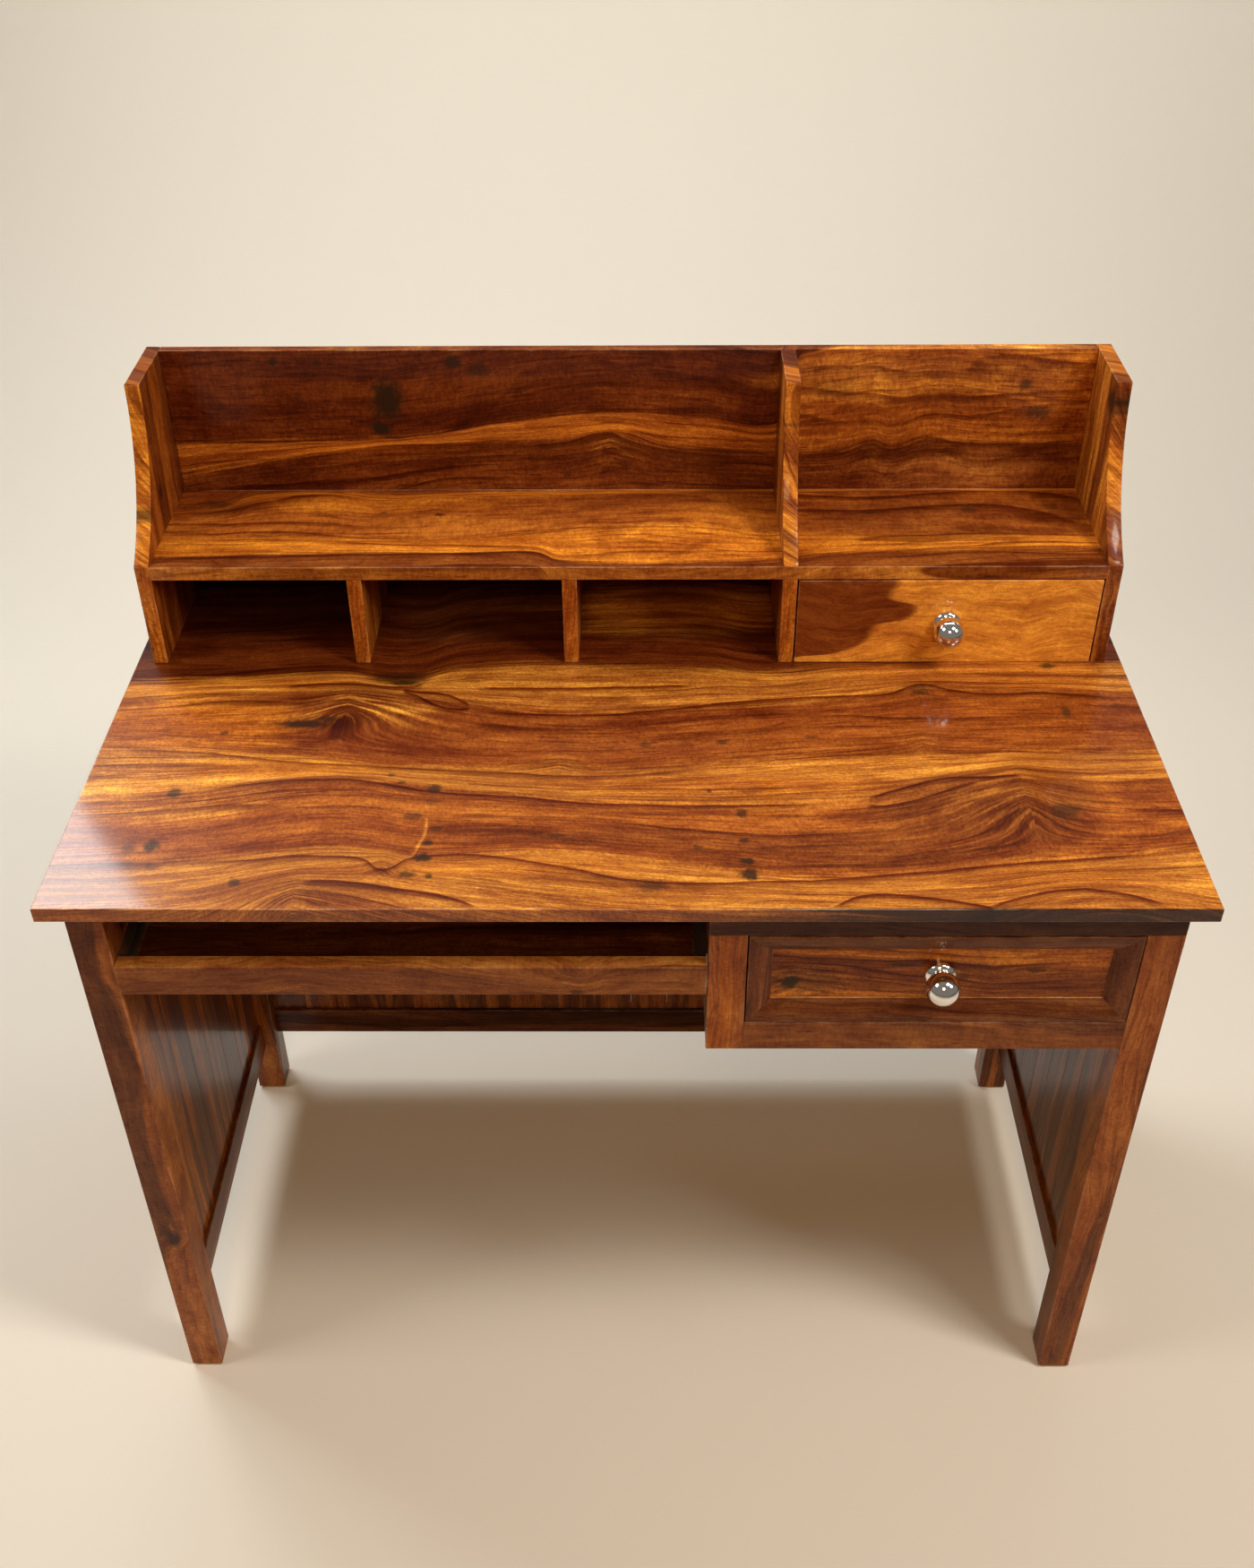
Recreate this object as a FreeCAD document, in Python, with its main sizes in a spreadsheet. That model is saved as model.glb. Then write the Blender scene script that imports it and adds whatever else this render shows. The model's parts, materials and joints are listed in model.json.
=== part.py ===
import FreeCAD, Part
import math
import os
import Sketcher
from types import SimpleNamespace
from FreeCAD import Placement, Rotation, Vector

# Writing desk with a hutch, in solid hardwood.
# The floor is z = 0, the front of the desk faces -Y and the long side runs along X.
# All sizes are in millimetres. Every driving dimension is a cell of the sheet.
SIZES = {
    # desktop
    "desk_width": 1100,
    "desk_depth": 600,
    "desk_height": 760,
    "top_thickness": 16,
    "top_edge_round": 1.6,
    # legs, measured in from the edges of the desktop
    "leg_width": 36,
    "leg_depth": 38,
    "leg_side_inset": 20,
    "leg_front_inset": 18,
    "leg_back_inset": 100,
    "foot_chamfer": 4,
    # rails between the legs and the panels in their grooves
    "rail_height": 42,
    "rail_thickness": 18,
    "rail_setback": 2,
    "side_rail_lift": 85,
    "back_rail_lift": 96,
    "apron_height": 50,
    "tenon_length": 16,
    "tenon_thickness": 8,
    "tenon_shoulder": 7,
    "panel_thickness": 8,
    "panel_tongue": 6,
    "joint_fit": 0.1,
    # face frame of the drawer bay
    "bay_left": 79,
    "stile_width": 37,
    "frame_thickness": 20,
    "bay_top_rail_height": 34,
    "bay_bottom_rail_height": 38,
    "bay_height": 188.5,
    "stile_tenon": 12,
    "bay_rail_tenon": 15,
    "partition_thickness": 16,
    # drawer runners
    "runner_thickness": 16,
    "runner_guide_rise": 30,
    "running_gap": 0.3,
    # keyboard tray on ball-bearing slides
    "tray_drop": 101.5,
    "tray_thickness": 16,
    "tray_back_setback": 23,
    "lip_thickness": 16,
    "lip_height": 37,
    "lip_drop": 6.5,
    "lip_proud": 5,
    "lip_side_gap": 1.5,
    "lip_round": 2,
    "slide_width": 12.7,
    "slide_height": 45,
    "slide_length": 350,
    "slide_sheet": 1.2,
    "slide_setback": 3,
    "outer_flange": 10,
    "inner_flange": 9,
    "inner_height": 34,
    "cage_sheet": 0.6,
    "cage_length": 84,
    "cage_start": 133,
    "cage_flange": 6.4,
    "ball_diameter": 3.6,
    "ball_pitch": 22,
    # desk drawer
    "front_reveal": 1.5,
    "moulding_width": 24,
    "moulding_thickness": 10,
    "moulding_flat": 3,
    "moulding_inner_depth": 6.5,
    "moulding_bead": 3,
    "moulding_bead_land": 1,
    "moulding_bead_radius": 6,
    "moulding_cove_radius": 46,
    "desk_front_thickness": 16,
    "desk_side_thickness": 12,
    "desk_side_height": 106,
    "desk_side_gap": 3,
    "desk_drawer_back_gap": 86,
    # hutch
    "hutch_side_inset": 19,
    "hutch_depth": 190,
    "hutch_rise": 292,
    "shelf_rise": 122.5,
    "board_thickness": 16,
    "hutch_back_thickness": 12,
    "end_top_depth": 101,
    "left_divider_left": -304,
    "middle_divider_left": -71,
    "right_divider_left": 167.5,
    "housing_depth": 5,
    "housing_width": 8,
    "housing_stop": 20,
    # hutch drawer
    "hutch_front_thickness": 16,
    "hutch_side_thickness": 10,
    "hutch_side_height": 96,
    "hutch_side_gap": 2,
    "hutch_drawer_back_gap": 12,
    # both drawers
    "drawer_bottom_thickness": 5,
    "drawer_bottom_rise": 8,
    "drawer_groove": 5,
    # ball knobs and their screws
    "knob_length": 39,
    "knob_ball_radius": 17,
    "knob_neck_radius": 11,
    "knob_collar_radius": 15.5,
    "knob_collar_flat": 5,
    "knob_bore_depth": 14,
    "screw_radius": 2,
    "screw_clearance": 0.3,
    "screw_head_radius": 4.2,
    "screw_head_height": 2.4,
    "screw_bite": 12,
    # screws that hold the desktop down and the hutch up
    "top_screw_radius": 2.2,
    "top_screw_length": 38,
    "top_screw_bore_radius": 5,
    "top_screw_end_margin": 60,
    "hutch_screw_inset": 45,
    "hutch_screw_length": 45,
}


class Length:
    """A size that keeps its number together with the formula that gives it."""

    def __init__(self, number, text):
        self.number = number
        self.text = text

    def combine(self, other, symbol, number):
        return Length(number, f"({self.text} {symbol} {as_length(other).text})")

    def __add__(self, other):
        return self.combine(other, "+", self.number + as_length(other).number)

    def __sub__(self, other):
        return self.combine(other, "-", self.number - as_length(other).number)

    def __mul__(self, other):
        return self.combine(other, "*", self.number * as_length(other).number)

    def __truediv__(self, other):
        return self.combine(other, "/", self.number / as_length(other).number)

    def __neg__(self):
        return Length(-self.number, f"(0 - {self.text})")


def as_length(value):
    if isinstance(value, Length):
        return value
    return Length(float(value), str(value))


size = SimpleNamespace(**{name: Length(number, "Sizes." + name) for name, number in SIZES.items()})

doc = FreeCAD.newDocument("desk_with_hutch")
sheet = doc.addObject("Spreadsheet::Sheet", "Sizes")
for row, (name, number) in enumerate(SIZES.items(), start=1):
    sheet.set(f"A{row}", name)
    sheet.set(f"B{row}", str(number))
    sheet.setAlias(f"B{row}", name)
doc.recompute()

pieces = []

# Places that several pieces share. Depths are counted back from the desktop's front edge.
half_width = size.desk_width / 2
frame_top = size.desk_height - size.top_thickness
leg_outside = half_width - size.leg_side_inset
leg_inside = leg_outside - size.leg_width
front_leg_back = size.leg_front_inset + size.leg_depth
rear_leg_back = size.desk_depth - size.leg_back_inset
rear_leg_front = rear_leg_back - size.leg_depth
side_span = rear_leg_front - front_leg_back
rail_inside = leg_outside - size.rail_setback - size.rail_thickness
apron_bottom = frame_top - size.apron_height
back_rail_front = rear_leg_back - size.rail_setback - size.rail_thickness
frame_back = size.leg_front_inset + size.frame_thickness
stile_right = size.bay_left + size.stile_width
bay_top = frame_top - size.bay_top_rail_height
bay_foot = frame_top - size.bay_height
bay_bottom = bay_foot + size.bay_bottom_rail_height
tray_lift = frame_top - size.tray_drop
tray_middle = tray_lift + size.tray_thickness / 2
slide_bottom = tray_middle - size.slide_height / 2
lip_front = size.leg_front_inset - size.lip_proud
lip_back = lip_front + size.lip_thickness
slide_front = lip_back + size.slide_setback
slide_back = slide_front + size.slide_length
drawer_face = size.leg_front_inset + size.moulding_thickness
hutch_front = size.desk_depth - size.hutch_depth
hutch_outside = half_width - size.hutch_side_inset
hutch_inside = hutch_outside - size.board_thickness
shelf_bottom_rise = size.shelf_rise - size.board_thickness
shelf_depth = size.hutch_depth - size.hutch_back_thickness
knob_overreach = size.knob_length - size.moulding_thickness - size.leg_front_inset
origin_depth = (size.desk_depth - knob_overreach) / 2


def bind(feature, path, length):
    """Ties one property of a feature to the sheet."""
    feature.setExpression(path, as_length(length).text)


def new_body(label):
    body = doc.addObject("PartDesign::Body", label)
    body.Label = label
    pieces.append(body)
    return body


def place(body, across, back, up, turn=None):
    """Stands a piece in the desk: across from the middle, back from the front edge, up from the floor."""
    back = as_length(back) - origin_depth
    spot = [as_length(value) for value in (across, back, up)]
    body.Placement = Placement(Vector(*[value.number for value in spot]), turn or Rotation())
    for axis, value in zip("xyz", spot):
        bind(body, ".Placement.Base." + axis, value)


def sketch_on(body, role, name):
    plane = next(item for item in body.Origin.OriginFeatures if item.Role == role)
    sketch = body.newObject("Sketcher::SketchObject", name)
    sketch.AttachmentSupport = [(plane, "")]
    sketch.MapMode = "FlatFace"
    return sketch


def arc_between(start, end, radius, turn):
    """The short arc from start to end. It turns left where turn is 1 and right where it is -1."""
    chord = end - start
    rise = math.sqrt(max(radius * radius - chord.Length * chord.Length / 4, 0))
    left = Vector(-chord.y, chord.x, 0).normalize()
    centre = (start + end) / 2 + left * (rise * turn)
    first, last = (start, end) if turn > 0 else (end, start)
    angles = [math.atan2(point.y - centre.y, point.x - centre.x) for point in (first, last)]
    if angles[1] < angles[0]:
        angles[1] += 2 * math.pi
    return Part.ArcOfCircle(Part.Circle(centre, Vector(0, 0, 1), radius), *angles)


def outline(sketch, corners, arcs=None):
    """A closed outline with each corner tied to the sheet. arcs gives a side's radius and turn by number."""
    arcs = arcs or {}
    corners = [(as_length(x), as_length(y)) for x, y in corners]
    points = [Vector(x.number, y.number, 0) for x, y in corners]
    ends = []
    for index, start in enumerate(points):
        end = points[(index + 1) % len(points)]
        if index in arcs:
            radius, turn = arcs[index]
            sketch.addGeometry(arc_between(start, end, as_length(radius).number, turn), False)
            ends.append((1, 2) if turn > 0 else (2, 1))
        else:
            sketch.addGeometry(Part.LineSegment(start, end), False)
            ends.append((1, 2))
    for index in range(len(points)):
        after = (index + 1) % len(points)
        joint = Sketcher.Constraint("Coincident", index, ends[index][1], after, ends[after][0])
        sketch.addConstraint(joint)
    for index, corner in enumerate(corners):
        for kind, value in zip(("DistanceX", "DistanceY"), corner):
            held = Sketcher.Constraint(kind, -1, 1, index, ends[index][0], value.number)
            number = sketch.addConstraint(held)
            bind(sketch, f"Constraints[{number}]", value)
    for index, (radius, turn) in arcs.items():
        number = sketch.addConstraint(Sketcher.Constraint("Radius", index, as_length(radius).number))
        bind(sketch, f"Constraints[{number}]", radius)


def pad(body, sketch, length, back=False):
    feature = body.newObject("PartDesign::Pad", body.Label + "_pad")
    feature.Profile = sketch
    feature.Reversed = back
    bind(feature, "Length", length)
    sketch.Visibility = False
    return feature


def board(label, width, depth, height):
    """A plain sawn board, drawn in plan and padded up."""
    body = new_body(label)
    sketch = sketch_on(body, "XY_Plane", label + "_plan")
    outline(sketch, [(0, 0), (width, 0), (width, depth), (0, depth)])
    pad(body, sketch, height)
    return body


def shaped_board(label, corners, arcs, thickness):
    """A board with a shaped edge, drawn from the side and padded through its thickness."""
    body = new_body(label)
    sketch = sketch_on(body, "YZ_Plane", label + "_side")
    outline(sketch, corners, arcs)
    pad(body, sketch, thickness)
    return body


def block(body, kind, name, corner, extent):
    feature = body.newObject("PartDesign::" + kind, body.Label + "_" + name)
    for path, length in zip(("Length", "Width", "Height"), extent):
        bind(feature, path, length)
    for axis, length in zip("xyz", corner):
        bind(feature, ".Placement.Base." + axis, length)
    return feature


def add_block(body, name, corner, extent):
    return block(body, "AdditiveBox", name, corner, extent)


def cut_block(body, name, corner, extent):
    return block(body, "SubtractiveBox", name, corner, extent)


# Turns that point a cylinder, which stands along +Z, another way.
POINTING = {
    "up": Rotation(),
    "down": Rotation(Vector(1, 0, 0), 180),
    "back": Rotation(Vector(1, 0, 0), -90),
    "front": Rotation(Vector(1, 0, 0), 90),
}


def rod(body, kind, name, start, pointing, radius, length):
    feature = body.newObject("PartDesign::" + kind, body.Label + "_" + name)
    feature.Placement = Placement(Vector(), POINTING[pointing])
    bind(feature, "Radius", radius)
    bind(feature, "Height", length)
    for axis, value in zip("xyz", start):
        bind(feature, ".Placement.Base." + axis, value)
    return feature


def drill(body, name, start, pointing, radius, length):
    return rod(body, "SubtractiveCylinder", name, start, pointing, radius, length)


def ease(body, kind, amount, wanted):
    """Rounds or chamfers the edges of a piece that wanted picks."""
    doc.recompute()
    tip = body.Tip
    names = [f"Edge{number}" for number, edge in enumerate(tip.Shape.Edges, start=1) if wanted(edge)]
    feature = body.newObject("PartDesign::" + kind, body.Label + "_" + kind.lower())
    feature.Base = (tip, names)
    bind(feature, "Radius" if kind == "Fillet" else "Size", amount)


def across_from_outside(side, whole, start, extent):
    """Local x of something that lies start in from the outer face of a piece on either side of the desk."""
    if side == "left":
        return as_length(start)
    return whole - start - extent


def mirrored_left(side, near, far):
    """Lowest x of a piece that lies between near and far from the middle on one side of the desk."""
    return -as_length(far) if side == "left" else as_length(near)


# Desk frame
SIDES = ("left", "right")
tenon_setback = size.rail_setback + (size.rail_thickness - size.tenon_thickness) / 2
panel_setback = size.rail_setback + (size.rail_thickness - size.panel_thickness) / 2
slot_width = size.panel_thickness + size.joint_fit * 2
slot_depth = size.panel_tongue + size.joint_fit
mortise_width = size.tenon_thickness + size.joint_fit * 2
mortise_depth = size.tenon_length + size.joint_fit


def rail_mortise_rise(lift, height):
    """Bottom and height of the mortise for a rail whose lower edge is at lift."""
    bottom = lift + size.tenon_shoulder - size.joint_fit
    return bottom, height - size.tenon_shoulder * 2 + size.joint_fit * 2


def make_desktop():
    top = board("desktop", size.desk_width, size.desk_depth, size.top_thickness)
    middle = size.top_thickness.number / 2
    ease(top, "Fillet", size.top_edge_round, lambda edge: edge.BoundBox.ZMin > middle)
    for name, across in hutch_screw_places().items():
        for row, back in enumerate((hutch_front + size.hutch_screw_inset,
                                    size.desk_depth - size.hutch_screw_inset)):
            start = (across + half_width, back, 0)
            drill(top, f"{name}_{row}", start, "up", size.top_screw_radius, size.top_thickness)
            drill(top, f"{name}_head_{row}", start, "up", size.screw_head_radius, size.screw_head_height)
    for name, across, back in top_screw_places():
        start = (across + half_width, back, 0)
        drill(top, name, start, "up", size.top_screw_radius, top_screw_bite())
    place(top, -half_width, 0, frame_top)


def top_screw_bite():
    """How far the desktop screws reach into the desktop."""
    return size.top_screw_length - size.apron_height / 2


def hutch_screw_places():
    """Middle of each hutch piece that is screwed down through the desktop."""
    half_board = size.board_thickness / 2
    return {
        "left_end": -(hutch_outside - half_board),
        "left_divider": size.left_divider_left + half_board,
        "middle_divider": size.middle_divider_left + half_board,
        "right_divider": size.right_divider_left + half_board,
        "right_end": hutch_outside - half_board,
    }


def top_screw_places():
    """Name, across and back of each screw that holds the desktop to the aprons."""
    apron_middle = leg_outside - size.rail_setback - size.rail_thickness / 2
    back_middle = back_rail_front + size.rail_thickness / 2
    near = front_leg_back + size.top_screw_end_margin
    far = rear_leg_front - size.top_screw_end_margin
    places = []
    for side, across in (("left", -apron_middle), ("right", apron_middle)):
        places.append((side + "_near", across, near))
        places.append((side + "_far", across, far))
    inner = leg_inside - size.top_screw_end_margin
    places.append(("back_left", -inner, back_middle))
    places.append(("back_right", inner, back_middle))
    return places


def make_leg(side, row):
    """A square post with mortises for the rails, and grooves for the panels between them."""
    label = f"{row}_{side}_leg"
    leg = board(label, size.leg_width, size.leg_depth, frame_top)
    front = row == "front"
    mortise_back = size.leg_depth - mortise_depth if front else 0
    groove_back = size.leg_depth - slot_depth if front else 0
    mortise_x = across_from_outside(side, size.leg_width, tenon_setback - size.joint_fit, mortise_width)
    groove_x = across_from_outside(side, size.leg_width, panel_setback - size.joint_fit, slot_width)
    rails = (("lower", size.side_rail_lift, size.rail_height), ("apron", apron_bottom, size.apron_height))
    for name, lift, height in rails:
        bottom, rise = rail_mortise_rise(lift, height)
        extent = (mortise_width, mortise_depth, rise)
        cut_block(leg, name + "_mortise", (mortise_x, mortise_back, bottom), extent)
    groove_bottom = size.side_rail_lift + size.rail_height - slot_depth
    groove_rise = apron_bottom + slot_depth - groove_bottom
    extent = (slot_width, slot_depth, groove_rise)
    cut_block(leg, "panel_groove", (groove_x, groove_back, groove_bottom), extent)
    if not front:
        cut_back_joints(leg, side)
    if front and side == "right":
        cut_bay_joints(leg)
    ease(leg, "Chamfer", size.foot_chamfer, lambda edge: edge.BoundBox.ZMax < size.foot_chamfer.number)
    back = size.leg_front_inset if front else rear_leg_front
    place(leg, mirrored_left(side, leg_inside, leg_outside), back, 0)


def cut_back_joints(leg, side):
    """Mortises and a groove in the inner face of a rear leg, for the rails and panel across the back."""
    depth_start = back_rail_front - rear_leg_front
    mortise_back = depth_start + (size.rail_thickness - size.tenon_thickness) / 2 - size.joint_fit
    groove_back = depth_start + (size.rail_thickness - size.panel_thickness) / 2 - size.joint_fit
    mortise_x = across_from_outside(side, size.leg_width, size.leg_width - mortise_depth, mortise_depth)
    groove_x = across_from_outside(side, size.leg_width, size.leg_width - slot_depth, slot_depth)
    rails = (("back_lower", size.back_rail_lift, size.rail_height),
             ("back_apron", apron_bottom, size.apron_height))
    for name, lift, height in rails:
        bottom, rise = rail_mortise_rise(lift, height)
        extent = (mortise_depth, mortise_width, rise)
        cut_block(leg, name + "_mortise", (mortise_x, mortise_back, bottom), extent)
    groove_bottom = size.back_rail_lift + size.rail_height - slot_depth
    groove_rise = apron_bottom + slot_depth - groove_bottom
    extent = (slot_depth, slot_width, groove_rise)
    cut_block(leg, "back_groove", (groove_x, groove_back, groove_bottom), extent)


def cut_bay_joints(leg):
    """The lap for the bay's top rail and the mortise for its bottom rail, in the right front leg."""
    extent = (size.leg_width, size.frame_thickness, size.bay_top_rail_height)
    cut_block(leg, "lap", (0, 0, bay_top), extent)
    bottom, rise = rail_mortise_rise(bay_foot, size.bay_bottom_rail_height)
    back = (size.frame_thickness - size.tenon_thickness) / 2 - size.joint_fit
    depth = size.bay_rail_tenon + size.joint_fit
    cut_block(leg, "bay_mortise", (0, back, bottom), (depth, mortise_width, rise))


def tenoned_rail(label, length, thickness, height, along):
    """A rail with a tenon at each end. along is the axis it runs on, x or y."""
    width, depth = (length, thickness) if along == "x" else (thickness, length)
    rail = board(label, width, depth, height)
    cheek = (thickness - size.tenon_thickness) / 2
    rise = height - size.tenon_shoulder * 2
    for name, start in (("first_tenon", -size.tenon_length), ("last_tenon", length)):
        if along == "x":
            corner = (start, cheek, size.tenon_shoulder)
            extent = (size.tenon_length, size.tenon_thickness, rise)
        else:
            corner = (cheek, start, size.tenon_shoulder)
            extent = (size.tenon_thickness, size.tenon_length, rise)
        add_block(rail, name, corner, extent)
    return rail


def groove_along(rail, length, height, along, upper):
    """The panel's groove in the top or bottom edge of a rail."""
    cheek = (size.rail_thickness - size.panel_thickness) / 2 - size.joint_fit
    rise = height - slot_depth if upper else 0
    corner = (0, cheek, rise) if along == "x" else (cheek, 0, rise)
    extent = (length, slot_width, slot_depth) if along == "x" else (slot_width, length, slot_depth)
    cut_block(rail, "panel_groove", corner, extent)


def bore_apron(rail, places, corner_across, corner_back):
    """A counterbored screw hole up through an apron at each place."""
    bore_depth = size.apron_height / 2
    for name, across, back in places:
        start = (across - corner_across, back - corner_back, 0)
        drill(rail, name + "_bore", start, "up", size.top_screw_bore_radius, bore_depth)
        drill(rail, name + "_hole", start, "up", size.top_screw_radius, size.apron_height)


def make_side(side):
    """Lower rail, apron and grooved panel of one end of the desk."""
    outside = leg_outside - size.rail_setback
    across = mirrored_left(side, rail_inside, outside)
    lower = tenoned_rail(side + "_lower_rail", side_span, size.rail_thickness, size.rail_height, "y")
    groove_along(lower, side_span, size.rail_height, "y", True)
    place(lower, across, front_leg_back, size.side_rail_lift)
    apron = tenoned_rail(side + "_apron", side_span, size.rail_thickness, size.apron_height, "y")
    groove_along(apron, side_span, size.apron_height, "y", False)
    own = [item for item in top_screw_places() if item[0].startswith(side)]
    bore_apron(apron, own, across, front_leg_back)
    place(apron, across, front_leg_back, apron_bottom)
    panel_bottom = size.side_rail_lift + size.rail_height - size.panel_tongue
    panel_rise = apron_bottom + size.panel_tongue - panel_bottom
    panel = board(side + "_panel", size.panel_thickness, side_span + size.panel_tongue * 2, panel_rise)
    inset = (size.rail_thickness - size.panel_thickness) / 2
    place(panel, across + inset, front_leg_back - size.panel_tongue, panel_bottom)


def make_back():
    """Lower rail, apron and grooved panel between the rear legs."""
    span = leg_inside * 2
    lower = tenoned_rail("back_lower_rail", span, size.rail_thickness, size.rail_height, "x")
    groove_along(lower, span, size.rail_height, "x", True)
    place(lower, -leg_inside, back_rail_front, size.back_rail_lift)
    apron = tenoned_rail("back_apron", span, size.rail_thickness, size.apron_height, "x")
    groove_along(apron, span, size.apron_height, "x", False)
    own = [item for item in top_screw_places() if item[0].startswith("back")]
    bore_apron(apron, own, -leg_inside, back_rail_front)
    place(apron, -leg_inside, back_rail_front, apron_bottom)
    panel_bottom = size.back_rail_lift + size.rail_height - size.panel_tongue
    panel_rise = apron_bottom + size.panel_tongue - panel_bottom
    panel = board("back_panel", span + size.panel_tongue * 2, size.panel_thickness, panel_rise)
    inset = (size.rail_thickness - size.panel_thickness) / 2
    place(panel, -leg_inside - size.panel_tongue, back_rail_front + inset, panel_bottom)


def make_drawer_bay():
    """Face frame, partition and runners of the desk drawer. The top rail laps over the right leg."""
    cheek = (size.frame_thickness - size.tenon_thickness) / 2
    top = board("bay_top_rail", leg_outside - size.bay_left, size.frame_thickness, size.bay_top_rail_height)
    tenon_width = size.stile_width - size.tenon_shoulder * 2
    cut_block(top, "stile_mortise",
              (size.tenon_shoulder - size.joint_fit, cheek - size.joint_fit, 0),
              (tenon_width + size.joint_fit * 2, mortise_width, size.stile_tenon + size.joint_fit))
    place(top, size.bay_left, size.leg_front_inset, bay_top)

    stile_height = bay_top - bay_foot
    stile = board("bay_stile", size.stile_width, size.frame_thickness, stile_height)
    add_block(stile, "tenon", (size.tenon_shoulder, cheek, stile_height),
              (tenon_width, size.tenon_thickness, size.stile_tenon))
    bottom, rise = rail_mortise_rise(as_length(0), size.bay_bottom_rail_height)
    depth = size.bay_rail_tenon + size.joint_fit
    cut_block(stile, "rail_mortise", (size.stile_width - depth, cheek - size.joint_fit, bottom),
              (depth, mortise_width, rise))
    place(stile, size.bay_left, size.leg_front_inset, bay_foot)

    span = leg_inside - stile_right
    rail = board("bay_bottom_rail", span, size.frame_thickness, size.bay_bottom_rail_height)
    tenon_rise = size.bay_bottom_rail_height - size.tenon_shoulder * 2
    for name, start in (("left_tenon", -size.bay_rail_tenon), ("right_tenon", span)):
        add_block(rail, name, (start, cheek, size.tenon_shoulder),
                  (size.bay_rail_tenon, size.tenon_thickness, tenon_rise))
    place(rail, stile_right, size.leg_front_inset, bay_foot)

    partition = board("bay_partition", size.partition_thickness, back_rail_front - frame_back,
                      frame_top - bay_foot)
    place(partition, size.bay_left, frame_back, bay_foot)

    behind_front = drawer_face + size.desk_front_thickness + size.running_gap
    make_runner("left", size.bay_left + size.partition_thickness, stile_right + size.desk_side_gap,
                frame_back, back_rail_front, behind_front - frame_back)
    make_runner("right", leg_inside - size.desk_side_gap, rail_inside, front_leg_back, rear_leg_front, 0)


def make_runner(side, low, high, front, back, guide_start):
    """An L-shaped runner: a ledge under the drawer side and a guide beside it, between low and high."""
    length = back - front
    ledge = size.desk_side_thickness
    corner = low if side == "left" else low - ledge
    runner = board(side + "_runner", high - low + ledge, length, size.runner_thickness)
    guide_width = high - low - size.running_gap
    guide_x = as_length(0) if side == "left" else ledge + size.running_gap
    add_block(runner, "guide", (guide_x, guide_start, size.runner_thickness),
              (guide_width, length - guide_start, size.runner_guide_rise))
    top = bay_bottom + size.front_reveal - size.running_gap
    place(runner, corner, front, top - size.runner_thickness)


# Keyboard tray
HALF_TURN = Rotation(Vector(0, 0, 1), 180)
BALL_COUNT = 4


def slide_member(label, side, corners, across, front, bottom, length):
    """A pressed steel channel, drawn in cross-section. The right one is the left one turned round."""
    body = new_body(label)
    sketch = sketch_on(body, "XZ_Plane", label + "_section")
    outline(sketch, corners)
    pad(body, sketch, length, True)
    if side == "left":
        place(body, -leg_inside + across, front, bottom)
    else:
        place(body, size.bay_left - across, front + length, bottom, HALF_TURN)
    return body


def make_slides():
    """Two ball-bearing slides: an outer channel, an inner channel and a ball cage between them."""
    sheet_metal = size.slide_sheet
    tall = size.slide_height
    flange = size.outer_flange
    outer = [(0, 0), (flange, 0), (flange, sheet_metal), (sheet_metal, sheet_metal),
             (sheet_metal, tall - sheet_metal), (flange, tall - sheet_metal), (flange, tall), (0, tall)]
    low = size.inner_height
    reach = size.inner_flange
    inner = [(0, 0), (reach, 0), (reach, low), (0, low), (0, low - sheet_metal),
             (reach - sheet_metal, low - sheet_metal), (reach - sheet_metal, sheet_metal), (0, sheet_metal)]
    inner_across = size.slide_width - reach
    inner_bottom = tray_middle - low / 2
    for side in SIDES:
        slide_member(side + "_slide_outer", side, outer, as_length(0), slide_front, slide_bottom,
                     size.slide_length)
        slide_member(side + "_slide_inner", side, inner, inner_across, slide_front, inner_bottom,
                     size.slide_length)
        make_cage(side)


def make_cage(side):
    """The thin steel ball cage, with its rows of balls between the two channels' flanges."""
    race = (size.slide_height / 2 - size.slide_sheet + size.inner_height / 2) / 2
    tall = race * 2 + size.cage_sheet
    thin = size.cage_sheet
    reach = size.cage_flange
    corners = [(0, 0), (reach, 0), (reach, thin), (thin, thin), (thin, tall - thin), (reach, tall - thin),
               (reach, tall), (0, tall)]
    across = size.slide_sheet + size.running_gap * 2
    front = slide_front + size.cage_start
    cage = slide_member(side + "_slide_cage", side, corners, across, front, tray_middle - tall / 2,
                        size.cage_length)
    row_length = size.ball_pitch * (BALL_COUNT - 1)
    margin = (size.cage_length - row_length) / 2
    for row, rise in (("low", thin / 2), ("high", tall - thin / 2)):
        ball = cage.newObject("PartDesign::AdditiveSphere", f"{side}_{row}_ball")
        bind(ball, "Radius", size.ball_diameter / 2)
        for axis, value in zip("xyz", (reach / 2 + thin, margin, rise)):
            bind(ball, ".Placement.Base." + axis, value)
        row_of_balls = cage.newObject("PartDesign::LinearPattern", f"{side}_{row}_balls")
        row_of_balls.Originals = [ball]
        y_axis = next(item for item in cage.Origin.OriginFeatures if item.Role == "Y_Axis")
        row_of_balls.Direction = (y_axis, [""])
        row_of_balls.Occurrences = BALL_COUNT
        bind(row_of_balls, "Length", row_length)
        cage.Tip = row_of_balls


def is_long_front_edge(edge):
    """Picks the upper and lower edges of the lip's front face."""
    box = edge.BoundBox
    return box.YMax < size.lip_round.number and box.XLength > box.ZLength


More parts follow.
